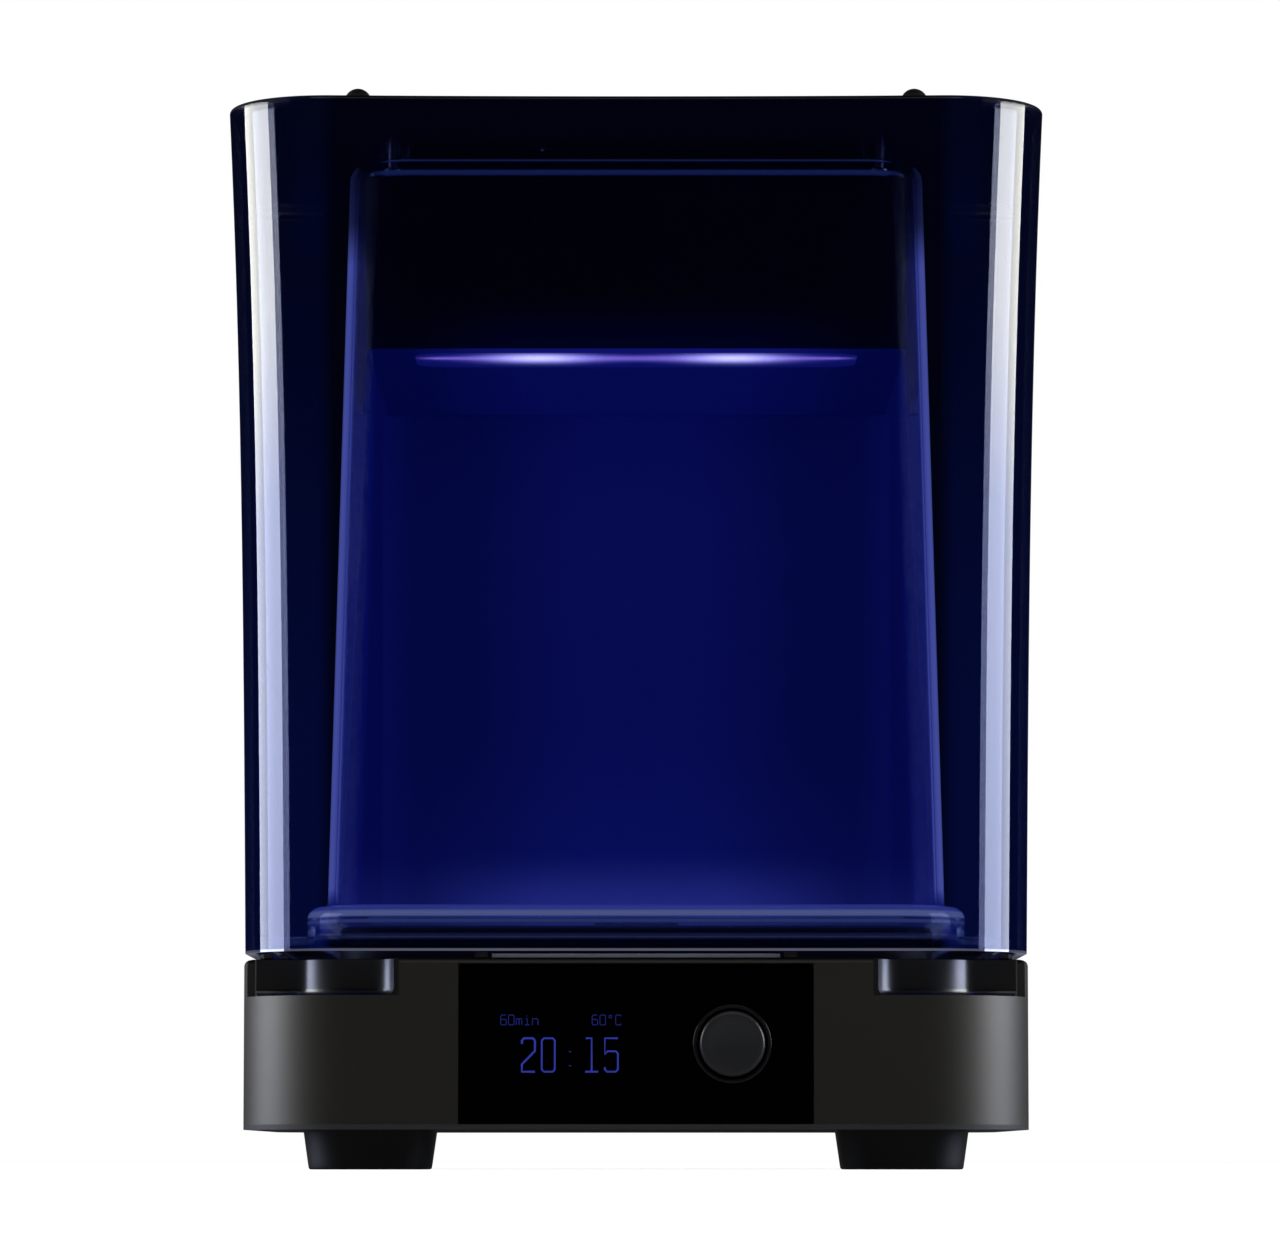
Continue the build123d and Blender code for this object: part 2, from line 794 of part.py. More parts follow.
def lower_heatsink():
    sink = rod(lower_sink_radius, heatsink_plate, 0, turntable_y, lower_sink_bottom)
    for row in range(-lower_fin_side_rows, lower_fin_side_rows + 1):
        y = row * lower_fin_pitch
        half = (lower_sink_radius ** 2 - (abs(y) + fin_thickness) ** 2) ** 0.5 - fin_end_gap
        sink += block(2 * half, fin_thickness, lower_fin_height, 0, turntable_y + y,
                      lower_sink_bottom - lower_fin_height)
    sink -= rod(lower_board_bore, reach, 0, turntable_y, lower_sink_bottom - 2 * lower_fin_height)
    for x, y in lower_boss_places():
        fin_bottom = lower_sink_bottom - lower_fin_height
        sink -= rod(screw_head + screw_head_clearance, lower_fin_height, x, y, fin_bottom)
        sink -= screw_hole(x, y, lower_sink_bottom, heatsink_plate)
    return sink


def lower_screws():
    length = heatsink_plate + board_thickness + lower_board_drop
    return group([screw_up(x, y, lower_sink_bottom, length) for x, y in lower_boss_places()])


def motor_bracket():
    plate = block(2 * bracket_half_length, bracket_width, bracket_thickness, 0, turntable_y, bracket_bottom)
    for sign in (-1, 1):
        x = sign * (bracket_half_length - bracket_thickness / 2)
        plate += block(bracket_thickness, bracket_width, bracket_drop, x, turntable_y, bracket_bottom)
    return plate - rod(motor_boss_radius + motor_boss_clearance, reach, 0, turntable_y, 0)


def turntable_motor():
    top = bracket_bottom
    motor = rod(gearbox_radius, gearbox_height, 0, turntable_y, top - gearbox_height)
    motor += rod(motor_can_radius, motor_can_height, 0, turntable_y, top - gearbox_height - motor_can_height)
    motor += rod(motor_boss_radius, motor_boss_height, 0, turntable_y, top)
    bore = motor_shaft_radius + motor_shaft_clearance
    return motor - rod(bore, reach, 0, turntable_y, top - gearbox_height + gearbox_floor)


def motor_shaft():
    bottom = bracket_bottom - gearbox_height + gearbox_floor + shaft_end_gap
    return rod(motor_shaft_radius, platter_bottom - bottom, 0, turntable_y, bottom)


def drive_hub():
    boss_bottom = lower_sink_bottom
    hub = rod(hub_radius, hub_flange, 0, turntable_y, platter_bottom - hub_flange)
    hub += rod(hub_boss_radius, platter_bottom - boss_bottom, 0, turntable_y, boss_bottom)
    hub += rod(hub_spigot_radius, platter_thickness, 0, turntable_y, platter_bottom)
    bore = motor_shaft_radius + steel_fit
    return hub - rod(bore, platter_bottom - boss_bottom, 0, turntable_y, boss_bottom)


def turntable():
    disc = rod(platter_radius, platter_thickness, 0, turntable_y, platter_bottom)
    disc = fillet(disc.edges().filter_by(GeomType.CIRCLE), platter_edge)
    return disc - rod(hub_spigot_radius + hub_clearance, reach, 0, turntable_y, 0)


# Fans: built about the Z axis with their underside at z = 0

def fan_frame(size, thickness):
    body = slab(size, size, fan_corner, 0, thickness)
    opening = size / 2 - fan_wall
    body -= rod(opening, thickness, 0, 0, 0)
    body += rod(fan_hub_share * size, fan_plate, 0, 0, 0)
    for index in range(fan_arms):
        arm = block(opening, fan_arm_width, fan_plate, (opening + fan_wall) / 2)
        body += Rot(0, 0, 360 * index / fan_arms + 90) * arm
    body += rod(fan_pin_radius, thickness - fan_pin_drop, 0, 0, 0)
    corner = size / 2 - fan_hole_inset
    for x, y in grid(corner, corner):
        body -= rod(fan_hole_radius, thickness, x, y, 0)
    return body


def fan_rotor(size, thickness):
    low = fan_plate + fan_end_gap
    height = thickness - low - fan_front_gap
    tip = size / 2 - fan_wall - fan_tip_gap
    hub = fan_hub_share * size
    rotor = rod(hub, height, 0, 0, low)
    for index in range(fan_blades):
        blade = Pos((tip + hub) / 2, 0, low + height / 2) * Rot(fan_blade_pitch, 0, 0) * Box(
            tip - hub + fan_wall, fan_blade_thickness, 1.1 * height)
        rotor += Rot(0, 0, 360 * index / fan_blades) * blade
    rotor &= rod(tip, height, 0, 0, low)
    bore_depth = thickness - fan_pin_drop + fan_pin_gap
    return rotor - rod(fan_pin_radius + fan_pin_clearance, bore_depth, 0, 0, 0)


# Lamp housing

def lamp_form(inset, z_low, z_high):
    return drafted_body(lamp_top_half_width - inset, -lamp_front_y - inset, lamp_bottom_half_width - inset,
                        -lamp_front_y - inset, lamp_corner - inset, z_low, z_high)


def lamp_tunnel(inset, z_low, z_high, y_end):
    return carried_back(lamp_form(inset, z_low, z_high), y_end)


def lamp_housing():
    body = lamp_tunnel(0, lamp_bottom, lamp_top, lamp_rear_y)
    flange = lamp_tunnel(-lamp_flange, lamp_bottom - lamp_flange, lamp_top + lamp_flange, lamp_rear_y)
    body += flange & between_y(back_wall_rear, back_wall_rear + lamp_wall)
    body -= lamp_tunnel(lamp_wall, lamp_bottom + lamp_wall, lamp_top - lamp_wall, 2 * lamp_rear_y)
    body -= slab(lamp_window_width, lamp_window_depth, lamp_window_corner, lamp_bottom - lamp_wall,
                 3 * lamp_wall, lamp_window_y)
    for x, y in lamp_boss_places():
        body += rod(boss_radius, lamp_board_bottom - lamp_bottom - lamp_wall, x, y, lamp_bottom + lamp_wall)
    return body


def lamp_boss_places():
    offset_x = lamp_window_width / 2 - lamp_boss_inset_x
    offset_y = lamp_board_depth / 2 - lamp_boss_inset_y
    return [(x, lamp_window_y + y) for x, y in grid(offset_x, offset_y)]


def lamp_window():
    width = lamp_window_width - 2 * window_clearance
    depth = lamp_window_depth - 2 * window_clearance
    corner = lamp_window_corner - window_clearance
    return slab(width, depth, corner, lamp_bottom, lamp_window_thickness, lamp_window_y)


def lamp_board():
    return block(lamp_board_width, lamp_board_depth, board_thickness, 0, lamp_window_y, lamp_board_bottom)


def lamp_leds():
    chips = []
    for side in (-1, 1):
        for x, y in grid(lamp_led_pitch / 2, lamp_led_pitch / 2):
            chips.append(block(led_size, led_size, led_height, side * lamp_cluster_x + x,
                               lamp_window_y + y, lamp_board_bottom - led_height))
    return group(chips)


def lamp_heatsink():
    sink = block(lamp_board_width, lamp_board_depth, heatsink_plate, 0, lamp_window_y, lamp_sink_bottom)
    pitch = (lamp_board_width - fin_thickness) / (upper_fin_count - 1)
    for index in range(upper_fin_count):
        x = -lamp_board_width / 2 + fin_thickness / 2 + index * pitch
        sink += block(fin_thickness, lamp_board_depth, upper_fin_height, x, lamp_window_y,
                      lamp_sink_bottom + heatsink_plate)
    return sink


def place_lamp_fan(piece):
    return Pos(0, lamp_window_y, lamp_fan_bottom) * piece


def place_heater_fan(piece):
    return Pos(heater_x, heater_y, heater_fan_bottom) * piece


# Heater

def heater_duct():
    size = heater_fan_size + 2 * (duct_wall + duct_clearance)
    tube = block(size, size, duct_height, heater_x, heater_y, heater_fan_bottom)
    tube -= block(size - 2 * duct_wall, size - 2 * duct_wall, reach, heater_x, heater_y, 0)
    return tube


def heater_element():
    size = heater_fan_size
    z = heater_top - heater_height
    core = block(size, size, heater_height, heater_x, heater_y, z)
    inner = size - 2 * heater_frame
    pitch = inner / (heater_fin_count + 1)
    gap = pitch - heater_fin
    for index in range(heater_fin_count + 1):
        x = heater_x - inner / 2 + (index + 0.5) * pitch
        core -= block(gap, inner, reach, x, heater_y, 0)
    return core


# Rear tower

def back_wall():
    wall = flared_body(tower_wall + back_wall_fit, base_top, hood_ceiling - back_wall_fit)
    wall &= between_y(tower_front_y, back_wall_rear)
    wall &= block(reach, reach, hinge_notch_z)
    return wall - lamp_tunnel(-lamp_fit, lamp_bottom - lamp_fit, lamp_top + lamp_fit, 2 * lamp_rear_y)


def rear_tower():
    body = outer_form(base_top) - flared_body(tower_wall, base_top - 1, hood_ceiling)
    body &= between_y(tower_front_y, reach / 2)
    notch_depth = tower_roof_y - tower_front_y
    body -= block(reach, notch_depth, reach, 0, tower_front_y + notch_depth / 2, hinge_notch_z)
    shelf_depth = tower_roof_y + sweep_clearance + tower_wall / 2 - back_wall_rear
    shelf = flared_body(tower_wall / 2, hinge_notch_z - tower_wall, hood_ceiling)
    shelf &= between_y(back_wall_rear, back_wall_rear + shelf_depth)
    body += shelf & block(reach, reach, tower_wall, 0, 0, hinge_notch_z - tower_wall)
    riser = shelf & between_y(tower_roof_y, reach / 2)
    riser_height = hood_ceiling - leaf_thickness - leaf_gap - hinge_notch_z
    body += riser & block(reach, reach, riser_height, 0, 0, hinge_notch_z)
    cut_depth = tower_depth / 2
    cut_y = hood_top_depth / 2 - cut_depth / 2
    for column in range(vent_columns):
        x = (column - (vent_columns - 1) / 2) * (vent_slot_width + vent_column_gap)
        for row in range(vent_rows):
            z = vent_z + row * vent_pitch
            body -= Pos(x, cut_y, z) * Box(vent_slot_width, cut_depth, vent_slot_height)
    for x in leaf_screw_places():
        body -= screw_hole(x, rear_screw_y, hood_ceiling - leaf_screw_grip, 2 * leaf_screw_grip)
    return body


def back_reflector():
    bottom = deck_top + reflector_gap
    height = lamp_bottom - lamp_fit - reflector_gap - bottom
    y = tower_front_y - reflector_thickness / 2
    return block(2 * reflector_half_width, reflector_thickness, height, 0, y, bottom)


# Hood hinge

def leaf_screw_places():
    return [-leaf_screw_x, -leaf_screw_x / 3, leaf_screw_x / 3, leaf_screw_x]


hood_screw_y = hood_rear_y - hood_leaf_depth / 2
rear_screw_y = tower_roof_y + rear_leaf_depth / 2


def knuckles(first):
    # Every second knuckle along the hinge line, starting with the one numbered first.
    pitch = hinge_length / knuckle_count
    barrels = []
    for index in range(first, knuckle_count, 2):
        x = -hinge_length / 2 + index * pitch + knuckle_gap / 2
        barrels.append((x, pitch - knuckle_gap))
    return barrels


def hinge_leaf(first, plate_y, plate_depth, screw_y, bore):
    side = 1 if plate_y > hinge_y else -1
    z = hood_ceiling - leaf_thickness
    leaf = block(hinge_length, plate_depth, leaf_thickness, 0, plate_y, z)
    inner = plate_y - side * plate_depth / 2
    for x, length in knuckles(first):
        tab = abs(inner - hinge_y) + leaf_thickness
        tab_y = (inner + hinge_y + side * leaf_thickness) / 2
        leaf += block(length, tab, leaf_thickness, x + length / 2, tab_y, z)
        leaf += rod_x(knuckle_radius, length, x, hinge_y, hinge_z)
    for x in leaf_screw_places():
        leaf -= screw_hole(x, screw_y, z - leaf_thickness, reach)
    return leaf - rod_x(bore, 2 * hinge_length, -hinge_length, hinge_y, hinge_z)


def hood_leaf():
    return hinge_leaf(1, hood_rear_y - leaf_setback - hood_leaf_depth / 2, hood_leaf_depth, hood_screw_y,
                      hinge_pin_radius + hinge_pin_clearance)


def rear_leaf():
    return hinge_leaf(0, tower_roof_y + rear_leaf_depth / 2, rear_leaf_depth, rear_screw_y,
                      hinge_pin_radius + steel_fit)


def hinge_pin():
    return rod_x(hinge_pin_radius, hinge_length, -hinge_length / 2, hinge_y, hinge_z)


def leaf_screws(y):
    z = hood_ceiling - leaf_thickness
    return group([screw_up(x, y, z, leaf_thickness + leaf_screw_grip) for x in leaf_screw_places()])


# Hood

def hood_cover():
    body = outer_form(hood_bottom) - flared_body(hood_wall, hood_bottom - 1, hood_ceiling)
    body &= between_y(-reach / 2, hood_rear_y)
    for x in leaf_screw_places():
        body -= screw_hole(x, hood_screw_y, hood_ceiling - leaf_screw_grip, 2 * leaf_screw_grip)
    for x, y in spacer_places():
        body -= screw_hole(x, y, hood_ceiling - leaf_screw_grip, 2 * leaf_screw_grip)
    return body


def spacer_places():
    return [(side * spacer_x, y) for side in (-1, 1) for y in (spacer_front_y, spacer_rear_y)]


def liner_form(inset, z_high):
    return drafted_body(liner_top_half_width - inset, liner_top_half_depth - inset,
                        liner_bottom_half_width - inset, liner_bottom_half_depth - inset,
                        liner_corner - inset, liner_foot - skirt_fillet, z_high)


def skirt_form(inset, z_low, z_high):
    width = 2 * (skirt_half_width - inset)
    depth = 2 * (skirt_half_depth - inset)
    return slab(width, depth, liner_corner + skirt_step - inset, z_low, z_high - z_low)


def hood_liner():
    tub = liner_form(0, liner_top)
    tub = fillet(tub.faces().sort_by(Axis.Z)[-1].edges(), liner_top_fillet)
    step = skirt_form(0, skirt_bottom, liner_foot)
    step = fillet(step.faces().sort_by(Axis.Z)[-1].edges(), skirt_fillet)
    inner_width = form_size(skirt_bottom, hood_bottom_width, hood_top_width) - 2 * hood_wall
    inner_depth = form_size(skirt_bottom, hood_bottom_depth, hood_top_depth) - 2 * hood_wall
    flange = slab(inner_width - 2 * flange_glue_gap, inner_depth - 2 * flange_glue_gap,
                  corner_radius - hood_wall, skirt_bottom, flange_thickness)
    body = carried_back(tub, liner_rear_y) + carried_back(step, liner_rear_y)
    body += carried_back(flange, liner_rear_y)
    body -= carried_back(liner_form(liner_wall, liner_top - liner_wall), 2 * liner_rear_y)
    body -= carried_back(skirt_form(liner_wall, skirt_bottom - 1, liner_foot - liner_wall), 2 * liner_rear_y)
    for x, y in spacer_places():
        body -= screw_hole(x, y, liner_top - 2 * liner_wall, 3 * liner_wall)
    return body


def hood_spacers():
    posts = []
    for x, y in spacer_places():
        height = hood_ceiling - liner_top
        post = rod(spacer_radius, height, x, y, liner_top)
        post += block(spacer_pad_width, spacer_pad_depth, spacer_pad_height, x, y, liner_top)
        posts.append(post - rod(screw_shank + screw_clearance, height, x, y, liner_top))
    return group(posts)


def spacer_screws():
    z = liner_top - liner_wall
    length = hood_ceiling - z + leaf_screw_grip
    screws = []
    for x, y in spacer_places():
        head = rod(screw_head, spacer_screw_head, x, y, z - spacer_screw_head)
        screws.append(head + rod(screw_shank, length, x, y, z))
    return group(screws)


def hood_domes():
    domes = []
    for side in (-1, 1):
        cap = Sphere((dome_radius ** 2 + dome_height ** 2) / (2 * dome_height))
        offset = (dome_radius ** 2 - dome_height ** 2) / (2 * dome_height)
        cap = Pos(0, 0, -offset) * cap & block(reach, reach, reach)
        domes.append(Pos(side * dome_x, dome_y, hood_top) * cap)
    return group(domes)


def hood_magnet():
    return rod(magnet_radius, magnet_height, magnet_x, 0, skirt_bottom + flange_thickness)


# Small pieces on and in the base

def lid_sensor():
    z = base_top - base_wall - sensor_height
    return block(sensor_width, sensor_length, sensor_height, magnet_x, 0, z)


def front_seal():
    y = base_front + base_wall + seal_inset
    return block(2 * seal_half_length, seal_width, seal_height, 0, y, base_top)


def front_bumpers():
    height = hood_gap - rest_clearance
    y = base_front + bumper_depth / 2 + bumper_setback
    bumper = block(bumper_width, bumper_depth, height, bumper_x, y, base_top)
    return group([mirrored(bumper), bumper])


def main_board():
    return block(main_board_width, main_board_depth, board_thickness,
                 main_board_x, main_board_y, main_board_z)


def board_components():
    top = main_board_z + board_thickness
    x = main_board_x
    y = main_board_y
    side_x = x + main_board_width / 4
    parts = []
    for place in range(capacitor_count):
        capacitor_y = y - coil_size - capacitor_pitch * (place + 1)
        parts.append(rod(capacitor_radius, capacitor_height, side_x, capacitor_y, top))
    parts.append(block(coil_size, coil_size, coil_size / 2, side_x, y, top))
    parts.append(block(chip_size, chip_size, chip_height, x - chip_size, y, top))
    parts.append(block(0.7 * chip_size, chip_size, chip_height, x - chip_size, y + 2 * chip_size, top))
    parts.append(block(chip_size, chip_size / 2, terminal_height, wiring_x, wiring_y - wiring_offset, top))
    return group(parts)


def power_inlet():
    front = base_rear - base_wall - inlet_depth
    body = Pos(inlet_x, front + inlet_depth / 2, inlet_z) * Box(inlet_size, inlet_depth, inlet_size)
    body += rod_y(inlet_nose_radius, base_wall, inlet_x, base_rear - base_wall, inlet_z)
    return body - rod_y(inlet_bore_radius, inlet_bore_length, inlet_x, base_rear - inlet_bore_length, inlet_z)


def lamp_wiring():
    # The loom from the main board up the tower and forward into the lamp housing.
    top = lamp_bottom + lamp_height / 2
    foot_y = wiring_y - wiring_offset
    foot_z = main_board_z + board_thickness + terminal_height
    bend_z = foot_z + wiring_rise
    points = [(wiring_x, foot_y, foot_z), (wiring_x, foot_y, bend_z),
              (wiring_x, wiring_y, bend_z + wiring_offset), (wiring_x, wiring_y, top),
              (wiring_x, wiring_y - wiring_reach, top)]
    bend = 0.45 * min(wiring_rise, wiring_offset) / tan(radians(22.5))
    path = FilletPolyline(*points, radius=[bend, bend, 3 * wiring_radius])
    section = Plane(origin=path @ 0, z_dir=path % 0) * Circle(wiring_radius)
    return sweep(section, path=path)


def build_nodes():
    return {
        "base_housing": base_housing(),
        "bottom_plate": bottom_plate(),
        "bottom_screws": bottom_screws(),
        "feet": feet(),
        "foot_screws": foot_screws(),
        "grip_insert_left": grip_insert(),
        "grip_insert_right": mirrored(grip_insert()),
        "control_panel": control_panel(),
        "display_module": display_module(),
        "control_board": control_board(),
        "encoder_body": encoder_body(),
        "encoder_rotor": encoder_rotor(),
        "encoder_shaft": encoder_shaft(),
        "knob": knob(),
        "knob_bezel": knob_bezel(),
        "chamber_deck": chamber_deck(),
        "lower_window": lower_window(),
        "lower_board": lower_board(),
        "lower_leds": lower_leds(),
        "lower_heatsink": lower_heatsink(),
        "lower_screws": lower_screws(),
        "motor_bracket": motor_bracket(),
        "turntable_motor": turntable_motor(),
        "motor_shaft": motor_shaft(),
        "drive_hub": drive_hub(),
        "turntable": turntable(),
        "lamp_housing": lamp_housing(),
        "lamp_window": lamp_window(),
        "lamp_board": lamp_board(),
        "lamp_leds": lamp_leds(),
        "lamp_heatsink": lamp_heatsink(),
        "lamp_fan_frame": place_lamp_fan(fan_frame(lamp_fan_size, lamp_fan_thickness)),
        "lamp_fan_rotor": place_lamp_fan(fan_rotor(lamp_fan_size, lamp_fan_thickness)),
        "heater_fan_frame": place_heater_fan(fan_frame(heater_fan_size, heater_fan_thickness)),
        "heater_fan_rotor": place_heater_fan(fan_rotor(heater_fan_size, heater_fan_thickness)),
        "heater_duct": heater_duct(),
        "heater_element": heater_element(),
        "rear_tower": rear_tower(),
        "back_wall": back_wall(),
        "back_reflector": back_reflector(),
        "rear_leaf": rear_leaf(),
        "rear_leaf_screws": leaf_screws(rear_screw_y),
        "hinge_pin": hinge_pin(),
        "hood_leaf": hood_leaf(),
        "hood_leaf_screws": leaf_screws(hood_screw_y),
        "hood_cover": hood_cover(),
        "hood_liner": hood_liner(),
        "hood_spacers": hood_spacers(),
        "spacer_screws": spacer_screws(),
        "hood_domes": hood_domes(),
        "hood_magnet": hood_magnet(),
        "lid_sensor": lid_sensor(),
        "front_seal": front_seal(),
        "front_bumpers": front_bumpers(),
        "main_board": main_board(),
        "board_components": board_components(),
        "power_inlet": power_inlet(),
        "lamp_wiring": lamp_wiring(),
    }


os.makedirs("parts", exist_ok=True)
for name, shape in build_nodes().items():
    export_step(shape, f"parts/{name}.step")
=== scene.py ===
import json
from math import atan2, cos, pi, radians, sin

import bmesh
import bpy
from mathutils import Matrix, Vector


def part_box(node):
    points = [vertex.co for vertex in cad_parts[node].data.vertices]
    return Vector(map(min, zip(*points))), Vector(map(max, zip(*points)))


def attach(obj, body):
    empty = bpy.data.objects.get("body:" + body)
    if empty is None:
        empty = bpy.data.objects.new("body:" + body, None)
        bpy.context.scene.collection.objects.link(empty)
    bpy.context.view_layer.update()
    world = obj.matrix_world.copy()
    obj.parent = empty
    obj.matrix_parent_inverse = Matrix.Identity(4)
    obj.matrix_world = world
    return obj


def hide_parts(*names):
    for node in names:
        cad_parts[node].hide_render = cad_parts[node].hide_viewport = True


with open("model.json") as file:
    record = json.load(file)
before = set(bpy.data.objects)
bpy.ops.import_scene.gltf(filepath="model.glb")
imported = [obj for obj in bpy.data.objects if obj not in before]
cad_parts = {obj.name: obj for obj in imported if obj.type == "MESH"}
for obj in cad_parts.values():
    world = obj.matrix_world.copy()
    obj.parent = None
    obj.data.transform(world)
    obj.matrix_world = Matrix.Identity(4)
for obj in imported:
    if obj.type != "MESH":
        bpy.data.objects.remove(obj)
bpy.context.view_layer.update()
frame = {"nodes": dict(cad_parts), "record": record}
mm = 0.001
black = (0.0, 0.0, 0.0)
nodes = frame["nodes"]
print("frame loaded:", len(nodes), "nodes")


# Node trees as expressions

class Wire:
    # One output of a node. Arithmetic on it adds Math nodes to its tree.
    def __init__(self, graph, socket):
        self.graph = graph
        self.socket = socket

    def math(self, operation, *others):
        return self.graph.add("ShaderNodeMath", {"operation": operation}, dict(enumerate((self, *others))))

    def __add__(self, other):
        return self.math("ADD", other)

    def __mul__(self, other):
        return self.math("MULTIPLY", other)

    __radd__ = __add__
    __rmul__ = __mul__

    def __sub__(self, other):
        return self.math("SUBTRACT", other)

    def __rsub__(self, other):
        return self * -1.0 + other

    def __truediv__(self, other):
        return self.math("DIVIDE", other)

    def __pow__(self, other):
        return self.math("POWER", other)

    def ramp(self, low, high, start=0.0, end=1.0, shape="LINEAR"):
        # Maps low..high to start..end and holds the ends.
        return self.graph.add("ShaderNodeMapRange", {"interpolation_type": shape, "clamp": True},
                              {0: self, 1: low, 2: high, 3: start, 4: end})

    def rising(self, span, start=0.0, end=1.0, shape="LINEAR"):
        # The same over a span in millimetres.
        return self.ramp(span[0] * mm, span[1] * mm, start, end, shape)

    def falling(self, span, end=0.0, shape="LINEAR"):
        return self.rising(span, 1.0, end, shape)


class Graph:
    def __init__(self, tree):
        self.tree = tree

    def add(self, kind, settings=None, inputs=None, output=0):
        node = self.tree.nodes.new(kind)
        for name, value in (settings or {}).items():
            setattr(node, name, value)
        for key, value in (inputs or {}).items():
            socket = node.inputs[key]
            if isinstance(value, Wire):
                self.tree.links.new(value.socket, socket)
            elif socket.type == "RGBA" and len(value) == 3:
                socket.default_value = (*value, 1.0)
            else:
                socket.default_value = value
        return Wire(self, node.outputs[output])

    def parts(self, vector):
        node = self.add("ShaderNodeSeparateXYZ", {}, {0: vector}).socket.node
        return [Wire(self, socket) for socket in node.outputs]

    def vector(self, x, y, z):
        return self.add("ShaderNodeCombineXYZ", {}, {0: x, 1: y, 2: z})


class Finish(Graph):
    # A material. Patterns read Object coordinates, which are metres in the shared frame.
    def __init__(self, name):
        self.material = bpy.data.materials.new(name)
        self.material.use_nodes = True
        super().__init__(self.material.node_tree)
        self.tree.nodes.clear()
        self.place = self.add("ShaderNodeTexCoord", {}, {}, "Object")
        self.x, self.y, self.z = self.parts(self.place)

    def noise(self, size, detail=2.0, stretch=(1.0, 1.0, 1.0)):
        # size is the pattern's grain in metres.
        place = self.add("ShaderNodeMapping", {}, {"Vector": self.place, "Scale": stretch})
        return self.add("ShaderNodeTexNoise", {}, {"Vector": place, "Scale": 1.0 / size, "Detail": detail})

    def mix(self, factor, first, second):
        return self.add("ShaderNodeMix", {"data_type": "RGBA"}, {0: factor, 6: first, 7: second}, 2)

    def bump(self, height, depth):
        return self.add("ShaderNodeBump", {}, {"Height": height, "Distance": depth, "Strength": 1.0})

    def fromMiddle(self):
        # The distance from the unit's middle plane.
        return self.x.math("ABSOLUTE")

    def principled(self, values):
        return self.add("ShaderNodeBsdfPrincipled", {}, values)

    def painted(self, values):
        return self.done(self.principled(values))

    def glowing(self, grain, tones, glow, relief, more):
        # The emission here is painted light: lamp light falling on the surface, drawn as its glow.
        values = {"Base Color": self.mix(grain, *tones), "Roughness": grain * 0.15 + 0.42,
                  "Emission Color": glow, "Emission Strength": 1.0, "Normal": self.bump(grain, relief)}
        return self.painted({**values, **more})

    def done(self, shader):
        sink = self.tree.nodes.new("ShaderNodeOutputMaterial")
        self.tree.links.new(shader.socket, sink.inputs["Surface"])
        return self.material


def shade(colour, factor):
    return tuple(channel * factor for channel in colour)


# Finishes

def moulded(name, colour, roughness=0.5, grain=0.35 * mm, depth=0.02 * mm, sheen=0.5, uneven=1.0,
            ior=1.5, tint=(1.0, 1.0, 1.0), rim=None):
    # Moulded plastic or rubber: a fine eroded grain with slightly uneven gloss. rim gives the
    # heights of a band of painted shade, dull black, for an edge lying in a deep gap.
    finish = Finish(name)
    fine = finish.noise(grain, 3.0)
    broad = finish.noise(28 * mm, 2.0)
    tone = finish.mix(broad * 0.6 + fine * 0.4, shade(colour, 0.86), shade(colour, 1.14))
    gloss = (fine - 0.5) * (0.16 * uneven) + (broad - 0.5) * (0.08 * uneven) + roughness
    values = {"Base Color": tone, "Roughness": gloss, "Specular IOR Level": sheen, "IOR": ior,
              "Specular Tint": tint, "Normal": finish.bump(fine, depth)}
    shell = finish.principled(values)
    if rim is None:
        return finish.done(shell)
    # painted shade: a dull black band between the rim heights
    dull = finish.principled({"Base Color": (0.002, 0.002, 0.003), "Roughness": 0.9,
                              "Specular IOR Level": 0.0})
    share = finish.z.rising(rim[:2], 0.0, 0.9) * finish.z.falling(rim[2:])
    return finish.done(finish.add("ShaderNodeMixShader", {}, {0: share, 1: shell, 2: dull}))


def metal(name, colour, roughness=0.3, stretch=(1.0, 1.0, 0.04), grain=0.5 * mm, depth=0.008 * mm):
    # Metal with drawn or brushed lines along the axis that has the small stretch.
    finish = Finish(name)
    lines = finish.noise(grain, 3.0, stretch)
    stains = finish.noise(14 * mm, 3.0)
    tone = finish.mix(stains, shade(colour, 0.82), shade(colour, 1.1))
    values = {"Base Color": tone, "Metallic": 1.0, "Normal": finish.bump(lines, depth),
              "Roughness": (lines - 0.5) * 0.22 + (stains - 0.5) * 0.12 + roughness}
    return finish.painted(values)


def clear(name, tint, body, cover, edge, rise=(0.3, 0.85), roughness=0.03, ior=1.6, coatIor=1.6, glow=None,
          sheen=0.8, polish=None):
    # Clear or tinted acrylic: tint passes, body covers, and the share covered grows towards grazing.
    # polish gives the coat's share over the surface and what its dull parts add to the roughness.
    finish = Finish(name)
    facing = finish.add("ShaderNodeLayerWeight", {}, {"Blend": 0.5}, "Facing")
    smear = finish.noise(45 * mm, 3.0)
    factor = facing.ramp(rise[0], rise[1], cover, edge, "SMOOTHSTEP")
    tone = finish.mix(smear, shade(body, 0.85), shade(body, 1.15))
    coat, dull = polish(finish) if polish else (1.0, 0.0)
    values = {"Base Color": tone, "Roughness": (smear - 0.5) * 0.008 + roughness + dull, "IOR": ior,
              "Specular IOR Level": sheen, "Coat Weight": coat, "Coat IOR": coatIor, "Coat Roughness": 0.02}
    # glow paints light onto the acrylic: an emission colour, and a share covered so that it shows
    if glow:
        values["Emission Color"], covered = glow(finish, smear)
        values["Emission Strength"] = 1.0
        factor = (factor + covered).math("MINIMUM", 1.0)
    solid = finish.principled(values)
    through = finish.add("ShaderNodeBsdfTransparent", {}, {"Color": tint})
    return finish.done(finish.add("ShaderNodeMixShader", {}, {0: factor, 1: through, 2: solid}))


def platterPaintedGlow(finish, smear):
    # Painted light: the platter glows with the floor lamp's blue, strongest at its front.
    values = {"fade": (-95, 40), "rear": (0.004, 0.008, 0.05), "front": (0.15, 0.20, 0.95)}
    return finish.mix(finish.y.falling(values["fade"]), values["rear"], values["front"]), 0.0


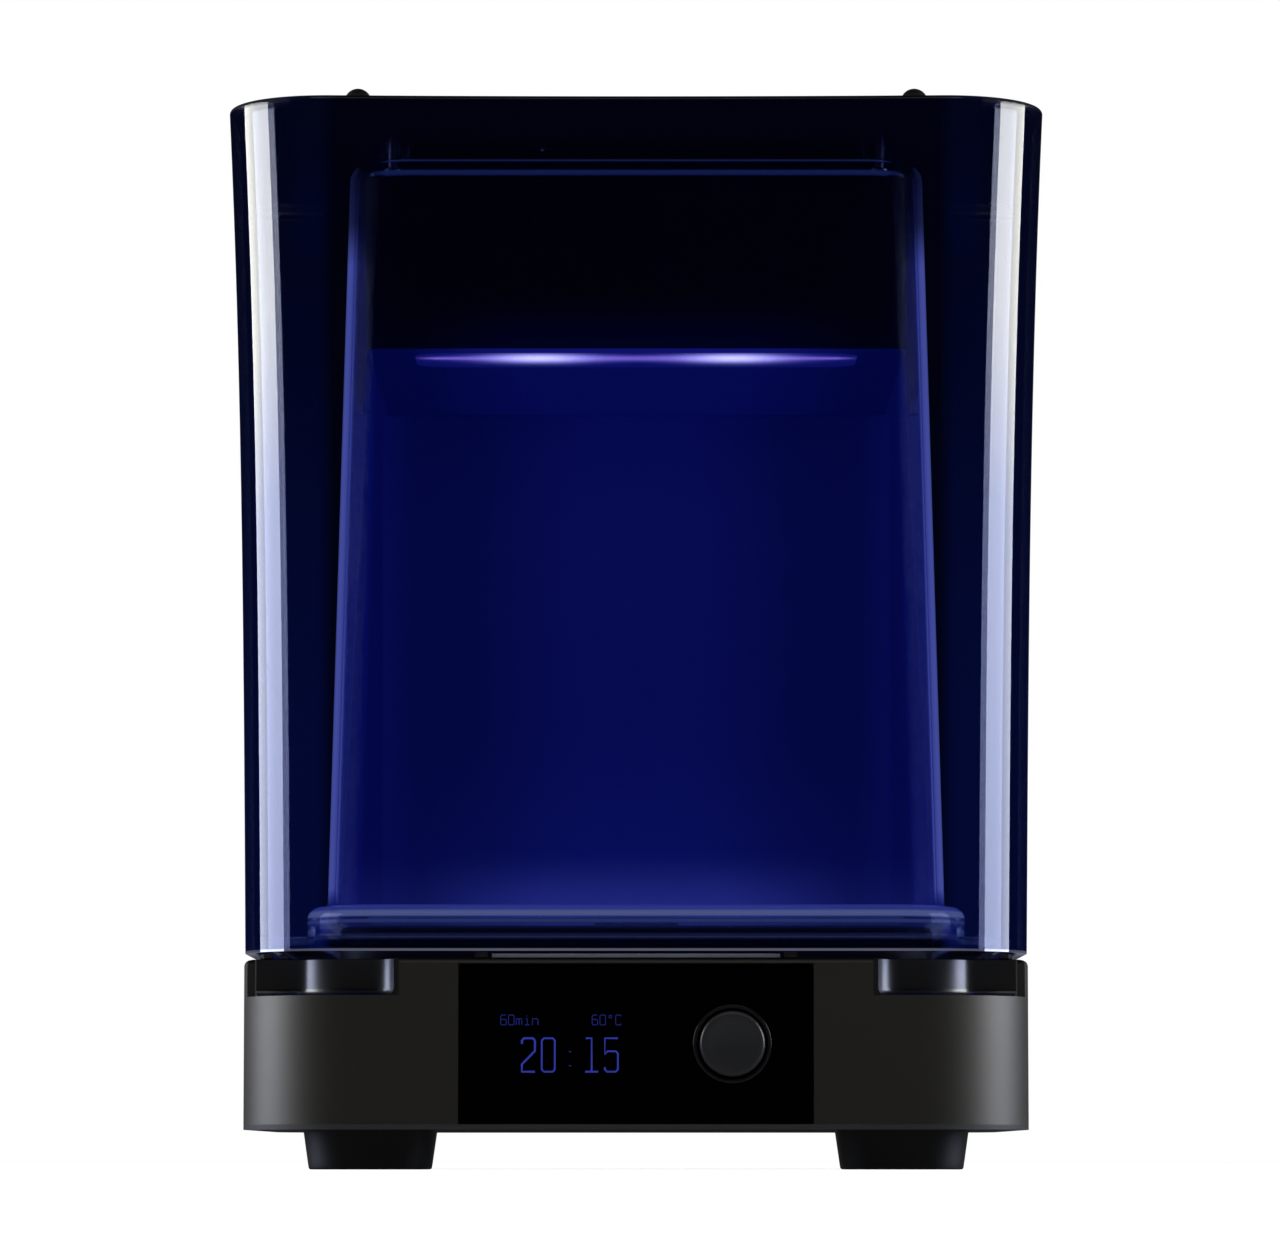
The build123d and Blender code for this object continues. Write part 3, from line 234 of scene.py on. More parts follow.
def laminate(name):
    # Green solder mask over faint copper tracks on a square grid.
    finish = Finish(name)
    weave = finish.noise(0.6 * mm, 2.0)
    tracks = finish.add("ShaderNodeTexBrick", {"offset": 0.37, "squash": 0.6},
                        {"Vector": finish.place, "Scale": 260.0, "Mortar Size": 0.06,
                         "Mortar Smooth": 0.2}, "Fac")
    tone = finish.mix(tracks, (0.006, 0.055, 0.022), (0.018, 0.13, 0.05))
    values = {"Base Color": tone, "Roughness": weave * 0.2 + 0.28,
              "Normal": finish.bump(tracks + weave * 0.3, 0.03 * mm)}
    return finish.painted(values)


def sleeve(name):
    # Braided cable sleeve: two crossing sets of strands.
    finish = Finish(name)
    turn = finish.y.math("ARCTAN2", finish.x - 0.048) * 6.0
    first = (turn + finish.z * 2400.0).math("SINE")
    second = (turn - finish.z * 2400.0).math("SINE")
    strands = first.math("MAXIMUM", second) * 0.5 + 0.5
    tone = finish.mix(strands, (0.004, 0.004, 0.005), (0.03, 0.03, 0.033))
    values = {"Base Color": tone, "Roughness": 0.75 - strands * 0.15,
              "Normal": finish.bump(strands, 0.15 * mm)}
    return finish.painted(values)


def lampGlass(name):
    # The lit lamp window: a violet thread along it and two white clusters, over a dim blue field.
    sizes = {"clusterX": 32.0, "spreadX": 24.0, "coreX": 13.0, "thread": 6.0, "middleY": -57.0,
             "narrows": (28.8, 72.0), "ends": (66, 73)}
    colours = {"field": (0.0012, 0.0022, 0.034), "halo": (0.030, 0.022, 0.22), "thread": (0.11, 0.065, 0.24),
               "cluster": (0.48, 0.42, 0.60)}
    finish = Finish(name)
    across = (finish.y - sizes["middleY"] * mm) / (sizes["thread"] * mm)
    fromEnd = finish.fromMiddle().falling(sizes["narrows"], 0.12)
    fromCluster = finish.fromMiddle() - sizes["clusterX"] * mm
    along = fromCluster / (sizes["spreadX"] * mm)
    core = fromCluster / (sizes["coreX"] * mm)
    line = (across * across / fromEnd * -1.0).math("EXPONENT")
    halo = ((along * along + across * across * 0.35) * -1.0).math("EXPONENT")
    centre = ((core * core + across * across * 0.45) * -1.0).math("EXPONENT")
    glow = finish.mix(halo, colours["field"], colours["halo"])
    glow = finish.mix(line * finish.fromMiddle().falling(sizes["ends"]), glow, colours["thread"])
    glow = finish.mix(centre, glow, colours["cluster"])
    grain = finish.noise(0.8 * mm)
    values = {"Base Color": (0.004, 0.005, 0.02), "Roughness": grain * 0.2 + 0.25,
              "Emission Color": glow, "Emission Strength": 6.0}
    return finish.painted(values)


def lit(name, colour, strength):
    # A small lit piece, a little brighter in its middle grain.
    finish = Finish(name)
    grain = finish.noise(0.7 * mm, 1.0)
    values = {"Base Color": (0.01, 0.01, 0.02), "Roughness": grain * 0.2 + 0.3, "Emission Strength": strength,
              "Emission Color": finish.mix(grain, shade(colour, 0.8), shade(colour, 1.2))}
    return finish.painted(values)


def chamberPaintedLight(finish):
    # The lamp's blue painted as emission on the chamber's rear: a broad upright band, brighter towards the
    # floor.
    sizes = {"band": (14, 62), "edge": (76, 89), "lowZ": (88, 180), "lowX": (20, 92), "footZ": (86, 112),
             "footX": (30, 75)}
    colours = {"dark": (0.0009, 0.0034, 0.088), "band": (0.0034, 0.0070, 0.155), "low": (0.007, 0.012, 0.20),
               "foot": (0.062, 0.077, 0.46)}
    across = finish.fromMiddle()
    band = across.falling(sizes["band"], 0.0, "SMOOTHSTEP")
    band = band + across.rising(sizes["edge"], 0.0, 0.6, "SMOOTHSTEP")
    low = finish.z.falling(sizes["lowZ"], 0.0, "SMOOTHSTEP") * across.falling(sizes["lowX"], 0.4)
    # painted pool of light at the foot of the chamber
    foot = finish.z.falling(sizes["footZ"], 0.0, "SMOOTHSTEP") * across.falling(sizes["footX"], 0.22)
    glow = finish.mix(band, colours["dark"], colours["band"])
    glow = finish.mix(low * low, glow, colours["low"])
    return finish.mix(foot, glow, colours["foot"])


def reflector(name):
    # Satin sheet behind the chamber, brushed upright, with the lamp's light painted on it as emission.
    finish = Finish(name)
    grain = finish.noise(0.6 * mm, 2.0, (1.0, 1.0, 0.05))
    tones = (0.016, 0.020, 0.06), (0.024, 0.028, 0.08)
    return finish.glowing(grain, tones, chamberPaintedLight(finish), 0.004 * mm, {"Metallic": 0.3})


def litWall(name):
    # The dark wall behind the sheet, with the lamp's light painted on it as emission where it faces the
    # chamber.
    finish = Finish(name)
    grain = finish.noise(0.4 * mm, 3.0)
    # painted lamp light only where the wall faces the chamber
    inside = finish.fromMiddle().falling((97, 101)) * finish.z.falling((272, 318), 0.12)
    inside = inside * finish.y.falling((90.5, 91.5))
    tones = (0.0034, 0.0043, 0.012), (0.0046, 0.0057, 0.016)
    glow = finish.mix(inside, black, chamberPaintedLight(finish))
    return finish.glowing(grain, tones, glow, 0.02 * mm,
                          {"Roughness": grain * 0.16 + 0.42, "Specular IOR Level": 0.3})


def lampShell(name):
    # Black lamp housing with the lamp's own blue light painted as emission on its underside and the foot of
    # its front.
    finish = Finish(name)
    grain = finish.noise(0.5 * mm, 3.0)
    sizes = {"middle": (34, 80), "under": (266.3, 266.6), "near": (-74, -20), "front": (266, 285)}
    colours = {"side": (0.0012, 0.0040, 0.088), "middle": (0.0037, 0.0073, 0.155),
               "near": (0.016, 0.022, 0.30), "front": (0.006, 0.012, 0.22)}
    across = finish.fromMiddle().falling(sizes["middle"], 0.0, "SMOOTHSTEP")
    under = finish.z.falling(sizes["under"])
    near = finish.y.falling(sizes["near"], 0.0, "SMOOTHSTEP")
    # painted glow rising up the front from its lower edge
    front = finish.z.falling(sizes["front"], 0.0, "SMOOTHSTEP") * 0.10 * (across * 0.8 + 0.2)
    dim = finish.mix(across, colours["side"], colours["middle"])
    glow = finish.mix(near * across, dim, colours["near"])
    glow = finish.mix(under, finish.mix(front, black, colours["front"]), glow)
    tones = (0.0010, 0.0013, 0.004), (0.0016, 0.0020, 0.006)
    return finish.glowing(grain, tones, glow, 0.02 * mm, {"Specular IOR Level": 0.2})


def bandAt(value, centre, half, soft):
    # 1 within half of the centre, falling to 0 over soft; all in millimetres.
    return (value - centre * mm).math("ABSOLUTE").falling((half, half + soft))


def linerPaintedLight(finish, smear):
    # Painted light on the clear liner: pale emission lines down its front corners, along its shoulder
    # and along the steps of its skirt stand in for highlights and piped light, and its side wall glows
    # painted blue.
    sizes = {"topHalf": 93.4, "footHalf": 99.4, "height": (84.0, 326.5), "line": 2.3, "front": (-60, -80),
             "sideTop": (320.5, 323.5), "sideFoot": (78, 86), "lineFoot": (84, 90), "lineTop": (300, 326),
             "ledge": (-91, -92), "shoulderX": (90, 93), "ledgeTop": (-80, -92)}
    colours = {"line": (0.19, 0.235, 0.72), "shoulder": (0.018, 0.030, 0.13), "belt": (0.020, 0.034, 0.12),
               "second": (0.060, 0.085, 0.23), "ledgeTop": (0.070, 0.095, 0.42), "bright": (0.20, 0.24, 0.44)}
    across = finish.fromMiddle()
    inside = finish.z.rising(sizes["height"], sizes["footHalf"] * mm, sizes["topHalf"] * mm) - across
    # painted blue glow on the side wall
    side = inside.falling((sizes["line"], 3 * sizes["line"])) * finish.z.falling(sizes["sideTop"])
    side = side * finish.z.rising(sizes["sideFoot"])
    wall = finish.mix(smear, (0.005, 0.009, 0.14), (0.008, 0.013, 0.19))
    glow = finish.mix(side, black, wall)

    # painted highlight lines down the front corners
    line = inside.falling((sizes["line"], 1.6 * sizes["line"]), 0.0, "SMOOTHSTEP")
    line = line * finish.y.rising(sizes["front"]) * finish.z.rising(sizes["lineFoot"])
    line = line * finish.z.falling(sizes["lineTop"], 0.35)
    glow = finish.mix(line, glow, colours["line"])

    # painted highlight lines along the shoulder
    shoulder = bandAt(finish.z, 321.6, 0.5, 0.5) + bandAt(finish.z, 326.1, 0.6, 0.3)
    shoulder = shoulder * finish.y.rising(sizes["ledge"]) * across.falling(sizes["shoulderX"])
    glow = finish.mix(shoulder, glow, colours["shoulder"])

    # painted highlight lines along the skirt's belt and steps
    belt = bandAt(finish.z, 78.8, 1.9, 0.6) * 0.5
    bright = bandAt(finish.z, 81.4, 0.75, 0.5)
    second = bandAt(finish.z, 78.9, 0.35, 0.4) + bandAt(finish.z, 74.0, 0.8, 0.5) * 0.4
    ledgeTop = bandAt(finish.z, 83.3, 0.8, 0.3) * finish.y.rising(sizes["ledgeTop"])
    glow = finish.mix(belt, glow, colours["belt"])
    glow = finish.mix(second.math("MINIMUM", 1.0), glow, colours["second"])
    glow = finish.mix(ledgeTop, glow, colours["ledgeTop"])
    glow = finish.mix(bright, glow, colours["bright"])
    covered = line * 0.5 + shoulder * 0.8 + belt * 0.6 + bright * 0.8 + second * 0.6 + ledgeTop * 0.6
    return glow, covered


def hoodPaintedShadeAndGlow(finish, smear):
    # Painted shade and light on the tinted hood: it is covered black towards its top, just above its rim and
    # over the hinge posts, painted faintly blue beside the chamber, and its lower edge carries a painted pale
    # highlight line.
    sizes = {"front": (98, 105), "top": (321, 330), "foot": (71.8, 72.6), "rim": (69.35, 69.65),
             "rimY": (-60, -90), "besideIn": (96, 101), "besideOut": (112, 118), "besideZ": (140, 330),
             "hingeZ": (286, 300), "hingeIn": (80, 86), "hingeOut": (106, 111)}
    colours = {"beside": (0.0, 0.0035, 0.055), "rim": (0.085, 0.092, 0.135)}
    across = finish.fromMiddle()
    front = across.falling(sizes["front"])
    # painted shade towards the top and just above the rim
    top = finish.z.rising(sizes["top"], 0.0, 1.0, "SMOOTHSTEP") * front
    foot = finish.z.falling(sizes["foot"]) * front
    # painted highlight: the pale line on the lower front edge
    rim = finish.z.falling(sizes["rim"]) * finish.y.rising(sizes["rimY"])
    # painted blue glow beside the chamber
    beside = across.rising(sizes["besideIn"]) * finish.z.falling(sizes["besideZ"], 0.1)
    beside = beside * across.falling(sizes["besideOut"], 0.25)
    tone = finish.mix(beside * (1 - rim), black, colours["beside"])
    tone = finish.mix(rim, tone, colours["rim"])
    # painted shade over the hinge posts
    hinge = finish.z.rising(sizes["hingeZ"]) * across.falling(sizes["hingeOut"])
    hinge = hinge * across.rising(sizes["hingeIn"])
    return tone, top * 0.6 + foot * 0.5 + rim * 0.6 + hinge * 0.4


def hoodPolish(finish):
    # The bent front corners are the glossiest part of the hood, and its flat top the dullest.
    corner = finish.fromMiddle().rising((96, 104)) * finish.y.falling((-108, -100))
    top = finish.z.rising((338.5, 340.5))
    return (corner * 0.88 + 0.12) * (1 - top), top * 0.5


finishes = {
    # the last four numbers give the heights of the painted shade band along the shell's top edge
    "charcoal_shell": moulded("charcoalShell", (0.0112, 0.0112, 0.0126), 0.49, 0.4 * mm, 0.03 * mm, 1.0, 0.5,
                              1.6, (1.0, 0.94, 0.78), (65.2, 66.2, 67.0, 67.4)),
    "dark_inner_plastic": moulded("darkInner", (0.004, 0.005, 0.014), 0.5),
    "dark_plate": moulded("powderPlate", (0.045, 0.045, 0.048), 0.6, 0.8 * mm, 0.05 * mm),
    "steel_screw": metal("screwSteel", (0.42, 0.42, 0.44), 0.32, (1.0, 1.0, 1.0)),
    "foot_rubber": moulded("footRubber", (0.0015, 0.0015, 0.0018), 0.50, 0.5 * mm, 0.04 * mm, 0.7),
    "gloss_black": moulded("gripGloss", (0.0010, 0.0010, 0.0018), 0.33, 1.5 * mm, 0.002 * mm, 1.0, 0.3, 1.68),
    "panel_glass": moulded("panelGlass", (0.0004, 0.0004, 0.0008), 0.10, 2.0 * mm, 0.001 * mm, 0.1, 0.2),
    "display_black": moulded("displayBody", (0.010, 0.010, 0.016), 0.3),
    "board_laminate": laminate("boardLaminate"),
    "encoder_metal": metal("encoderMetal", (0.50, 0.50, 0.52), 0.28, (1.0, 0.05, 1.0)),
    "white_nylon": moulded("whiteNylon", (0.68, 0.68, 0.66), 0.5, 0.6 * mm, 0.02 * mm),
    "knob_plastic": moulded("knobPlastic", (0.0280, 0.0280, 0.0285), 0.36, 0.3 * mm, 0.012 * mm, 0.9),
    "knob_ring": moulded("knobRing", (0.012, 0.012, 0.013), 0.22, 0.8 * mm, 0.003 * mm),
    "clear_window": lampGlass("lampGlass"),
    "led_violet": lit("ledViolet", (0.45, 0.30, 1.0), 8.0),
    "sink_aluminium": metal("sinkAluminium", (0.62, 0.63, 0.65), 0.38, (1.0, 0.05, 1.0)),
    "bracket_steel": metal("bracketSteel", (0.45, 0.45, 0.47), 0.36, (0.05, 1.0, 1.0)),
    "motor_steel": metal("motorSteel", (0.50, 0.50, 0.52), 0.3, (1.0, 1.0, 0.05)),
    "platter_clear": clear("platterClear", (0.75, 0.80, 0.98), (0.006, 0.010, 0.05), 0.20, 1.0, (0.3, 0.9),
                           0.3, 1.4, 1.3, platterPaintedGlow),
    "lit_wall": litWall("litWall"),
    "lamp_black": lampShell("lampBlack"),
    "fan_black": moulded("fanBlack", (0.020, 0.020, 0.022), 0.45),
    "duct_steel": metal("ductSteel", (0.48, 0.48, 0.50), 0.34, (1.0, 1.0, 0.05)),
    "heater_aluminium": metal("heaterAluminium", (0.58, 0.58, 0.60), 0.42, (1.0, 0.05, 1.0)),
    "reflector_sheet": reflector("reflectorSheet"),
    "hinge_steel": metal("hingeSteel", (0.16, 0.16, 0.17), 0.36, (0.05, 1.0, 1.0)),
    "hood_tint": clear("hoodTint", (0.80, 0.83, 0.99), (0.0008, 0.0018, 0.013), 0.30, 0.985, (0.30, 0.80),
                       0.03, 1.8, 2.6, hoodPaintedShadeAndGlow, 0.15, hoodPolish),
    "liner_clear": clear("linerClear", (0.93, 0.95, 1.0), (0.003, 0.008, 0.08), 0.08, 0.90, (0.45, 0.95),
                         0.05, 1.35, 1.35, linerPaintedLight),
    "clip_clear": clear("clipClear", (0.90, 0.93, 1.0), (0.003, 0.005, 0.03), 0.12, 0.60, (0.4, 0.95)),
    "bumper_rubber": moulded("bumperRubber", (0.012, 0.012, 0.014), 0.5, 0.5 * mm, 0.02 * mm),
    "magnet_nickel": metal("magnetNickel", (0.60, 0.60, 0.58), 0.16, (1.0, 1.0, 1.0)),
    "sensor_plastic": moulded("sensorPlastic", (0.028, 0.028, 0.030), 0.45),
    "seal_silicone": moulded("sealSilicone", (0.80, 0.81, 0.84), 0.4, 0.6 * mm, 0.01 * mm),
    "component_black": moulded("componentBlack", (0.018, 0.018, 0.020), 0.35),
    "inlet_plastic": moulded("inletPlastic", (0.018, 0.018, 0.020), 0.4),
    "wire_sleeve": sleeve("wireSleeve"),
}
print("finishes made:", len(finishes))

for part in frame["record"]["subparts"]:
    mesh = nodes[part["node"]].data
    mesh.materials.clear()
    mesh.materials.append(finishes["lit_wall" if part["node"] == "back_wall" else part["material_slot"]])


# Mesh helpers

def linked(name, data):
    obj = bpy.data.objects.new(name, data)
    bpy.context.scene.collection.objects.link(obj)
    return obj


def smoothed(mesh, sharp=35.0):
    mesh.polygons.foreach_set("use_smooth", [True] * len(mesh.polygons))
    mesh.set_sharp_from_angle(angle=radians(sharp))


def shapeObject(name, mesh, finish):
    obj = linked(name, mesh)
    mesh.materials.clear()
    mesh.materials.append(finish)
    smoothed(mesh)
    return obj


def plainMesh(obj):
    return bpy.data.meshes.new_from_object(obj.evaluated_get(bpy.context.evaluated_depsgraph_get()))


def settled(obj):
    # The object's mesh with its modifiers applied, as a plain mesh of its own.
    mesh = plainMesh(obj)
    obj.modifiers.clear()
    obj.data = mesh
    return obj


def meshFrom(name, points, faces, outward=True):
    mesh = bpy.data.meshes.new(name)
    mesh.from_pydata([tuple(point) for point in points], [], faces)
    form = bmesh.new()
    form.from_mesh(mesh)
    bmesh.ops.remove_doubles(form, verts=form.verts, dist=1e-6)
    if outward:
        bmesh.ops.recalc_face_normals(form, faces=form.faces)
    form.to_mesh(mesh)
    form.free()
    return mesh


def skin(rings, closedRound=True):
    # Points and faces of a surface through successive rings with the same number of points.
    count = len(rings[0])
    points = [point for ring in rings for point in ring]
    faces = []
    for level in range(len(rings) - 1):
        for index in range(count if closedRound else count - 1):
            nextIndex = (index + 1) % count
            low = level * count
            faces.append((low + index, low + nextIndex, low + count + nextIndex, low + count + index))
    return points, faces


def middles(boxes):
    # The middle of each box's underside.
    return [((low.x + high.x) / 2, (low.y + high.y) / 2, low.z) for low, high in boxes]


def frontMiddle(low, high):
    return (low.x + high.x) / 2, low.y, (low.z + high.z) / 2


def level(path, z):
    # A path in millimetres laid at a height.
    return [Vector((x, y, z)) * mm for x, y in path]


def circled(path, radius, z):
    # A circle whose points stand in the same directions as the path's.
    angles = [atan2(y, x) for x, y in path]
    return level([(radius * cos(angle), radius * sin(angle)) for angle in angles], z)


def lathe(name, profile, centre, finish, axis="Z", steps=72):
    # profile is (radius, height) pairs in millimetres, closed on the axis where the radius is 0.
    rings = []
    for radius, height in profile:
        ring = []
        for step in range(steps):
            angle = 2 * pi * step / steps
            a, b = radius * cos(angle) * mm, radius * sin(angle) * mm
            offset = {"Z": (a, b, height * mm), "Y": (a, height * mm, b)}[axis]
            ring.append(Vector(centre) + Vector(offset))
        rings.append(ring)
    return shapeObject(name, meshFrom(name, *skin(rings)), finishes[finish])


def arc(centreA, centreB, radius, start, end, steps=6):
    # Points of an arc in a profile, from start to end in degrees.
    turn = [radians(start + (end - start) * step / steps) for step in range(steps + 1)]
    return [(centreA + radius * cos(angle), centreB + radius * sin(angle)) for angle in turn]


def outline(halfX, halfY, radius, rearY=None, steps=14):
    # A rounded rectangle; with rearY, its front part, from the left rear round to the right rear.
    corners = [(-1, -1, 180), (1, -1, 270), (1, 1, 0), (-1, 1, 90)]
    path = []
    for signX, signY, start in corners[:4 if rearY is None else 2]:
        path += arc(signX * (halfX - radius), signY * (halfY - radius), radius, start, start + 90, steps)
    return path if rearY is None else [(-halfX, rearY), *path, (halfX, rearY)]


def fineStraights(path, steps, shortest=30.0):
    # Splits the long straight runs of a path into equal steps.
    result = []
    for start, end in zip(path, path[1:]):
        length = ((end[0] - start[0]) ** 2 + (end[1] - start[1]) ** 2) ** 0.5
        count = steps if length > shortest else 1
        for step in range(count):
            share = step / count
            result.append((start[0] + (end[0] - start[0]) * share, start[1] + (end[1] - start[1]) * share))
    return result + [path[-1]]


# Geometry node trees

class Rig(Graph):
    # A geometry node tree whose named inputs are the sizes it is given.
    kinds = {float: "NodeSocketFloat", int: "NodeSocketInt", bpy.types.Material: "NodeSocketMaterial",
             bpy.types.Object: "NodeSocketObject"}

    def __init__(self, name, sizes):
        super().__init__(bpy.data.node_groups.new(name, "GeometryNodeTree"))
        interface = self.tree.interface
        interface.new_socket("Geometry", in_out="INPUT", socket_type="NodeSocketGeometry")
        interface.new_socket("Geometry", in_out="OUTPUT", socket_type="NodeSocketGeometry")
        self.values = {}
        for label, value in sizes.items():
            kind = next(kind for known, kind in self.kinds.items() if isinstance(value, known))
            socket = interface.new_socket(label, in_out="INPUT", socket_type=kind)
            self.values[socket.identifier] = value
        self.source = self.tree.nodes.new("NodeGroupInput")

    def size(self, label):
        return Wire(self, self.source.outputs[label])

    def close(self, geometry):
        # Every tree ends here: instances made real and the finish set.
        real = self.add("GeometryNodeRealizeInstances", {}, {0: geometry})
        painted = self.add("GeometryNodeSetMaterial", {}, {"Geometry": real, "Material": self.size("Finish")})
        sink = self.tree.nodes.new("NodeGroupOutput")
        self.tree.links.new(painted.socket, sink.inputs[0])

    def grow(self, name, seed=((0.0, 0.0, 0.0),)):
        # Runs the tree on a mesh of points, or on nothing, and returns the plain result.
        mesh = bpy.data.meshes.new(name)
        mesh.from_pydata([tuple(point) for point in seed], [], [])
        obj = linked(name, mesh)
        modifier = obj.modifiers.new("rig", "NODES")
        modifier.node_group = self.tree
        for identifier, value in self.values.items():
            modifier[identifier] = value
        settled(obj)
        smoothed(obj.data)
        return obj


def repeated(name, finish, pattern, places, turns=0, seed=0):
    # Copies of a pattern object on points; turns gives each a random turn about Z.
    rig = Rig(name + "Rig", {"Pattern": pattern, "Finish": finishes[finish], "Turn": float(turns),
                             "Seed": seed})
    shape = rig.add("GeometryNodeObjectInfo", {}, {"Object": rig.size("Pattern")}, "Geometry")
    angle = rig.add("FunctionNodeRandomValue", {"data_type": "FLOAT"},
                    {2: 0.0, 3: rig.size("Turn"), "Seed": rig.size("Seed")}, 1)
    turned = rig.vector(0.0, 0.0, angle)
    points = Wire(rig, rig.source.outputs["Geometry"])
    copies = rig.add("GeometryNodeInstanceOnPoints", {},
                     {"Points": points, "Instance": shape, "Rotation": turned})
    rig.close(copies)
    made = rig.grow(name, places)
    bpy.data.objects.remove(pattern)
    return made


def copiesOf(rings, name, finish, boxes, turns=0, seed=0):
    pattern = shapeObject("pattern", meshFrom("pattern", *skin(rings)), finishes[finish])
    return repeated(name, finish, pattern, middles(boxes), turns, seed)


def place(obj, body, slot, *replaced):
    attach(obj, body)
    if replaced:
        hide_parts(*replaced)
    return obj


# Hood shell: a flared outline whose width and depth follow one rule up its height

def makeHoodShell():
    low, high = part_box("hood_cover")
    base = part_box("base_housing")
    rimInset = 0.3 * mm
    sizes = {
        "Bottom Half Width": base[1].x - rimInset,
        "Bottom Half Depth": -base[0].y - rimInset,
        "Top Half Width": high.x,
        "Top Half Depth": -low.y,
        "Bottom": low.z,
        "Top": high.z,
        "Rear": high.y,
        "Corner Radius": 34 * mm,
        "Rim Radius": 1.4 * mm,
        "Straight Share": 0.45,
        "Dish": 0.65 * mm,
        "Finish": finishes["hood_tint"],
    }
    sideSteps, cornerSteps, frontSteps = 8, 24, 24
    wallSteps, rimSteps, topSteps = 36, 6, 16
    aroundSteps = 2 * sideSteps + 2 * cornerSteps + frontSteps
    upSteps = wallSteps + rimSteps + topSteps
    rig = Rig("hoodShellRig", sizes)
    size = rig.size
    grid = rig.add("GeometryNodeMeshGrid", {}, {"Size X": float(aroundSteps), "Size Y": float(upSteps),
                                                "Vertices X": aroundSteps + 1, "Vertices Y": upSteps + 1})
    across, up, _ = rig.parts(rig.add("GeometryNodeInputPosition"))
    around = across + aroundSteps / 2
    up = up + upSteps / 2

    wall = up.ramp(0.0, float(wallSteps))
    rim = up.ramp(float(wallSteps), float(wallSteps + rimSteps), 0.0, pi / 2)
    inward = up.ramp(float(wallSteps + rimSteps), float(upSteps), 1.0, 0.0)
    height = size("Top") - size("Bottom")
    rise = wall * (height - size("Rim Radius")) + rim.math("SINE") * size("Rim Radius")
    share = rise / height
    flare = share * size("Straight Share") + share ** 3.0 * (1 - size("Straight Share"))
    inset = (1 - rim.math("COSINE")) * size("Rim Radius")
    halfWidth = size("Bottom Half Width") + flare * (
        size("Top Half Width") - size("Bottom Half Width")) - inset
    halfDepth = size("Bottom Half Depth") + flare * (
        size("Top Half Depth") - size("Bottom Half Depth")) - inset
    radius = size("Corner Radius") - inset

    firstCorner = float(sideSteps)
    front = firstCorner + cornerSteps
    lastCorner = front + frontSteps
    lastSide = lastCorner + cornerSteps
    turn = around.ramp(firstCorner, front) + around.ramp(lastCorner, lastSide)
    angle = turn * (pi / 2) + pi
    forward = around.ramp(0.0, firstCorner) - around.ramp(lastSide, float(aroundSteps))
    centreX = (halfWidth - radius) * (around.ramp(front, lastCorner) * 2.0 - 1.0)
    centreY = size("Rear") - forward * (halfDepth - radius + size("Rear"))
    edgeX = centreX + radius * angle.math("COSINE")
    edgeY = centreY + radius * angle.math("SINE")
    x = edgeX * inward
    y = size("Rear") + (edgeY - size("Rear")) * inward
    fromMiddle = x / halfWidth
    dip = (1 - fromMiddle * fromMiddle) * share.ramp(0.8, 1.0, 0.0, 1.0, "SMOOTHSTEP") * size("Dish")
    z = size("Bottom") + rise - dip
    moved = rig.add("GeometryNodeSetPosition", {}, {"Geometry": grid, "Position": rig.vector(x, y, z)})
    rig.close(rig.add("GeometryNodeMergeByDistance", {}, {"Geometry": moved, "Distance": 1e-6}))
    shell = rig.grow("hoodShell")
    thicken(shell, 3.0 * mm)
    return place(shell, "hood", "hood_tint", "hood_cover")


def thicken(obj, wall):
    # Turns an outer skin into a wall, growing away from its outward side.
    form = bmesh.new()
    form.from_mesh(obj.data)
    bmesh.ops.recalc_face_normals(form, faces=form.faces)
    top = max(form.faces, key=lambda face: face.calc_center_median().z)
    if top.normal.z < 0:
        bmesh.ops.reverse_faces(form, faces=form.faces)
    form.to_mesh(obj.data)
    form.free()
    solidify = obj.modifiers.new("wall", "SOLIDIFY")
    solidify.thickness = wall
    solidify.offset = -1.0
    solidify.use_even_offset = True
    settled(obj)
    obj.data.set_sharp_from_angle(angle=radians(40))


makeHoodShell()
print("hood shell made")


# Hood liner: a drafted tub with a rounded shoulder, a stepped skirt and a flange at its foot

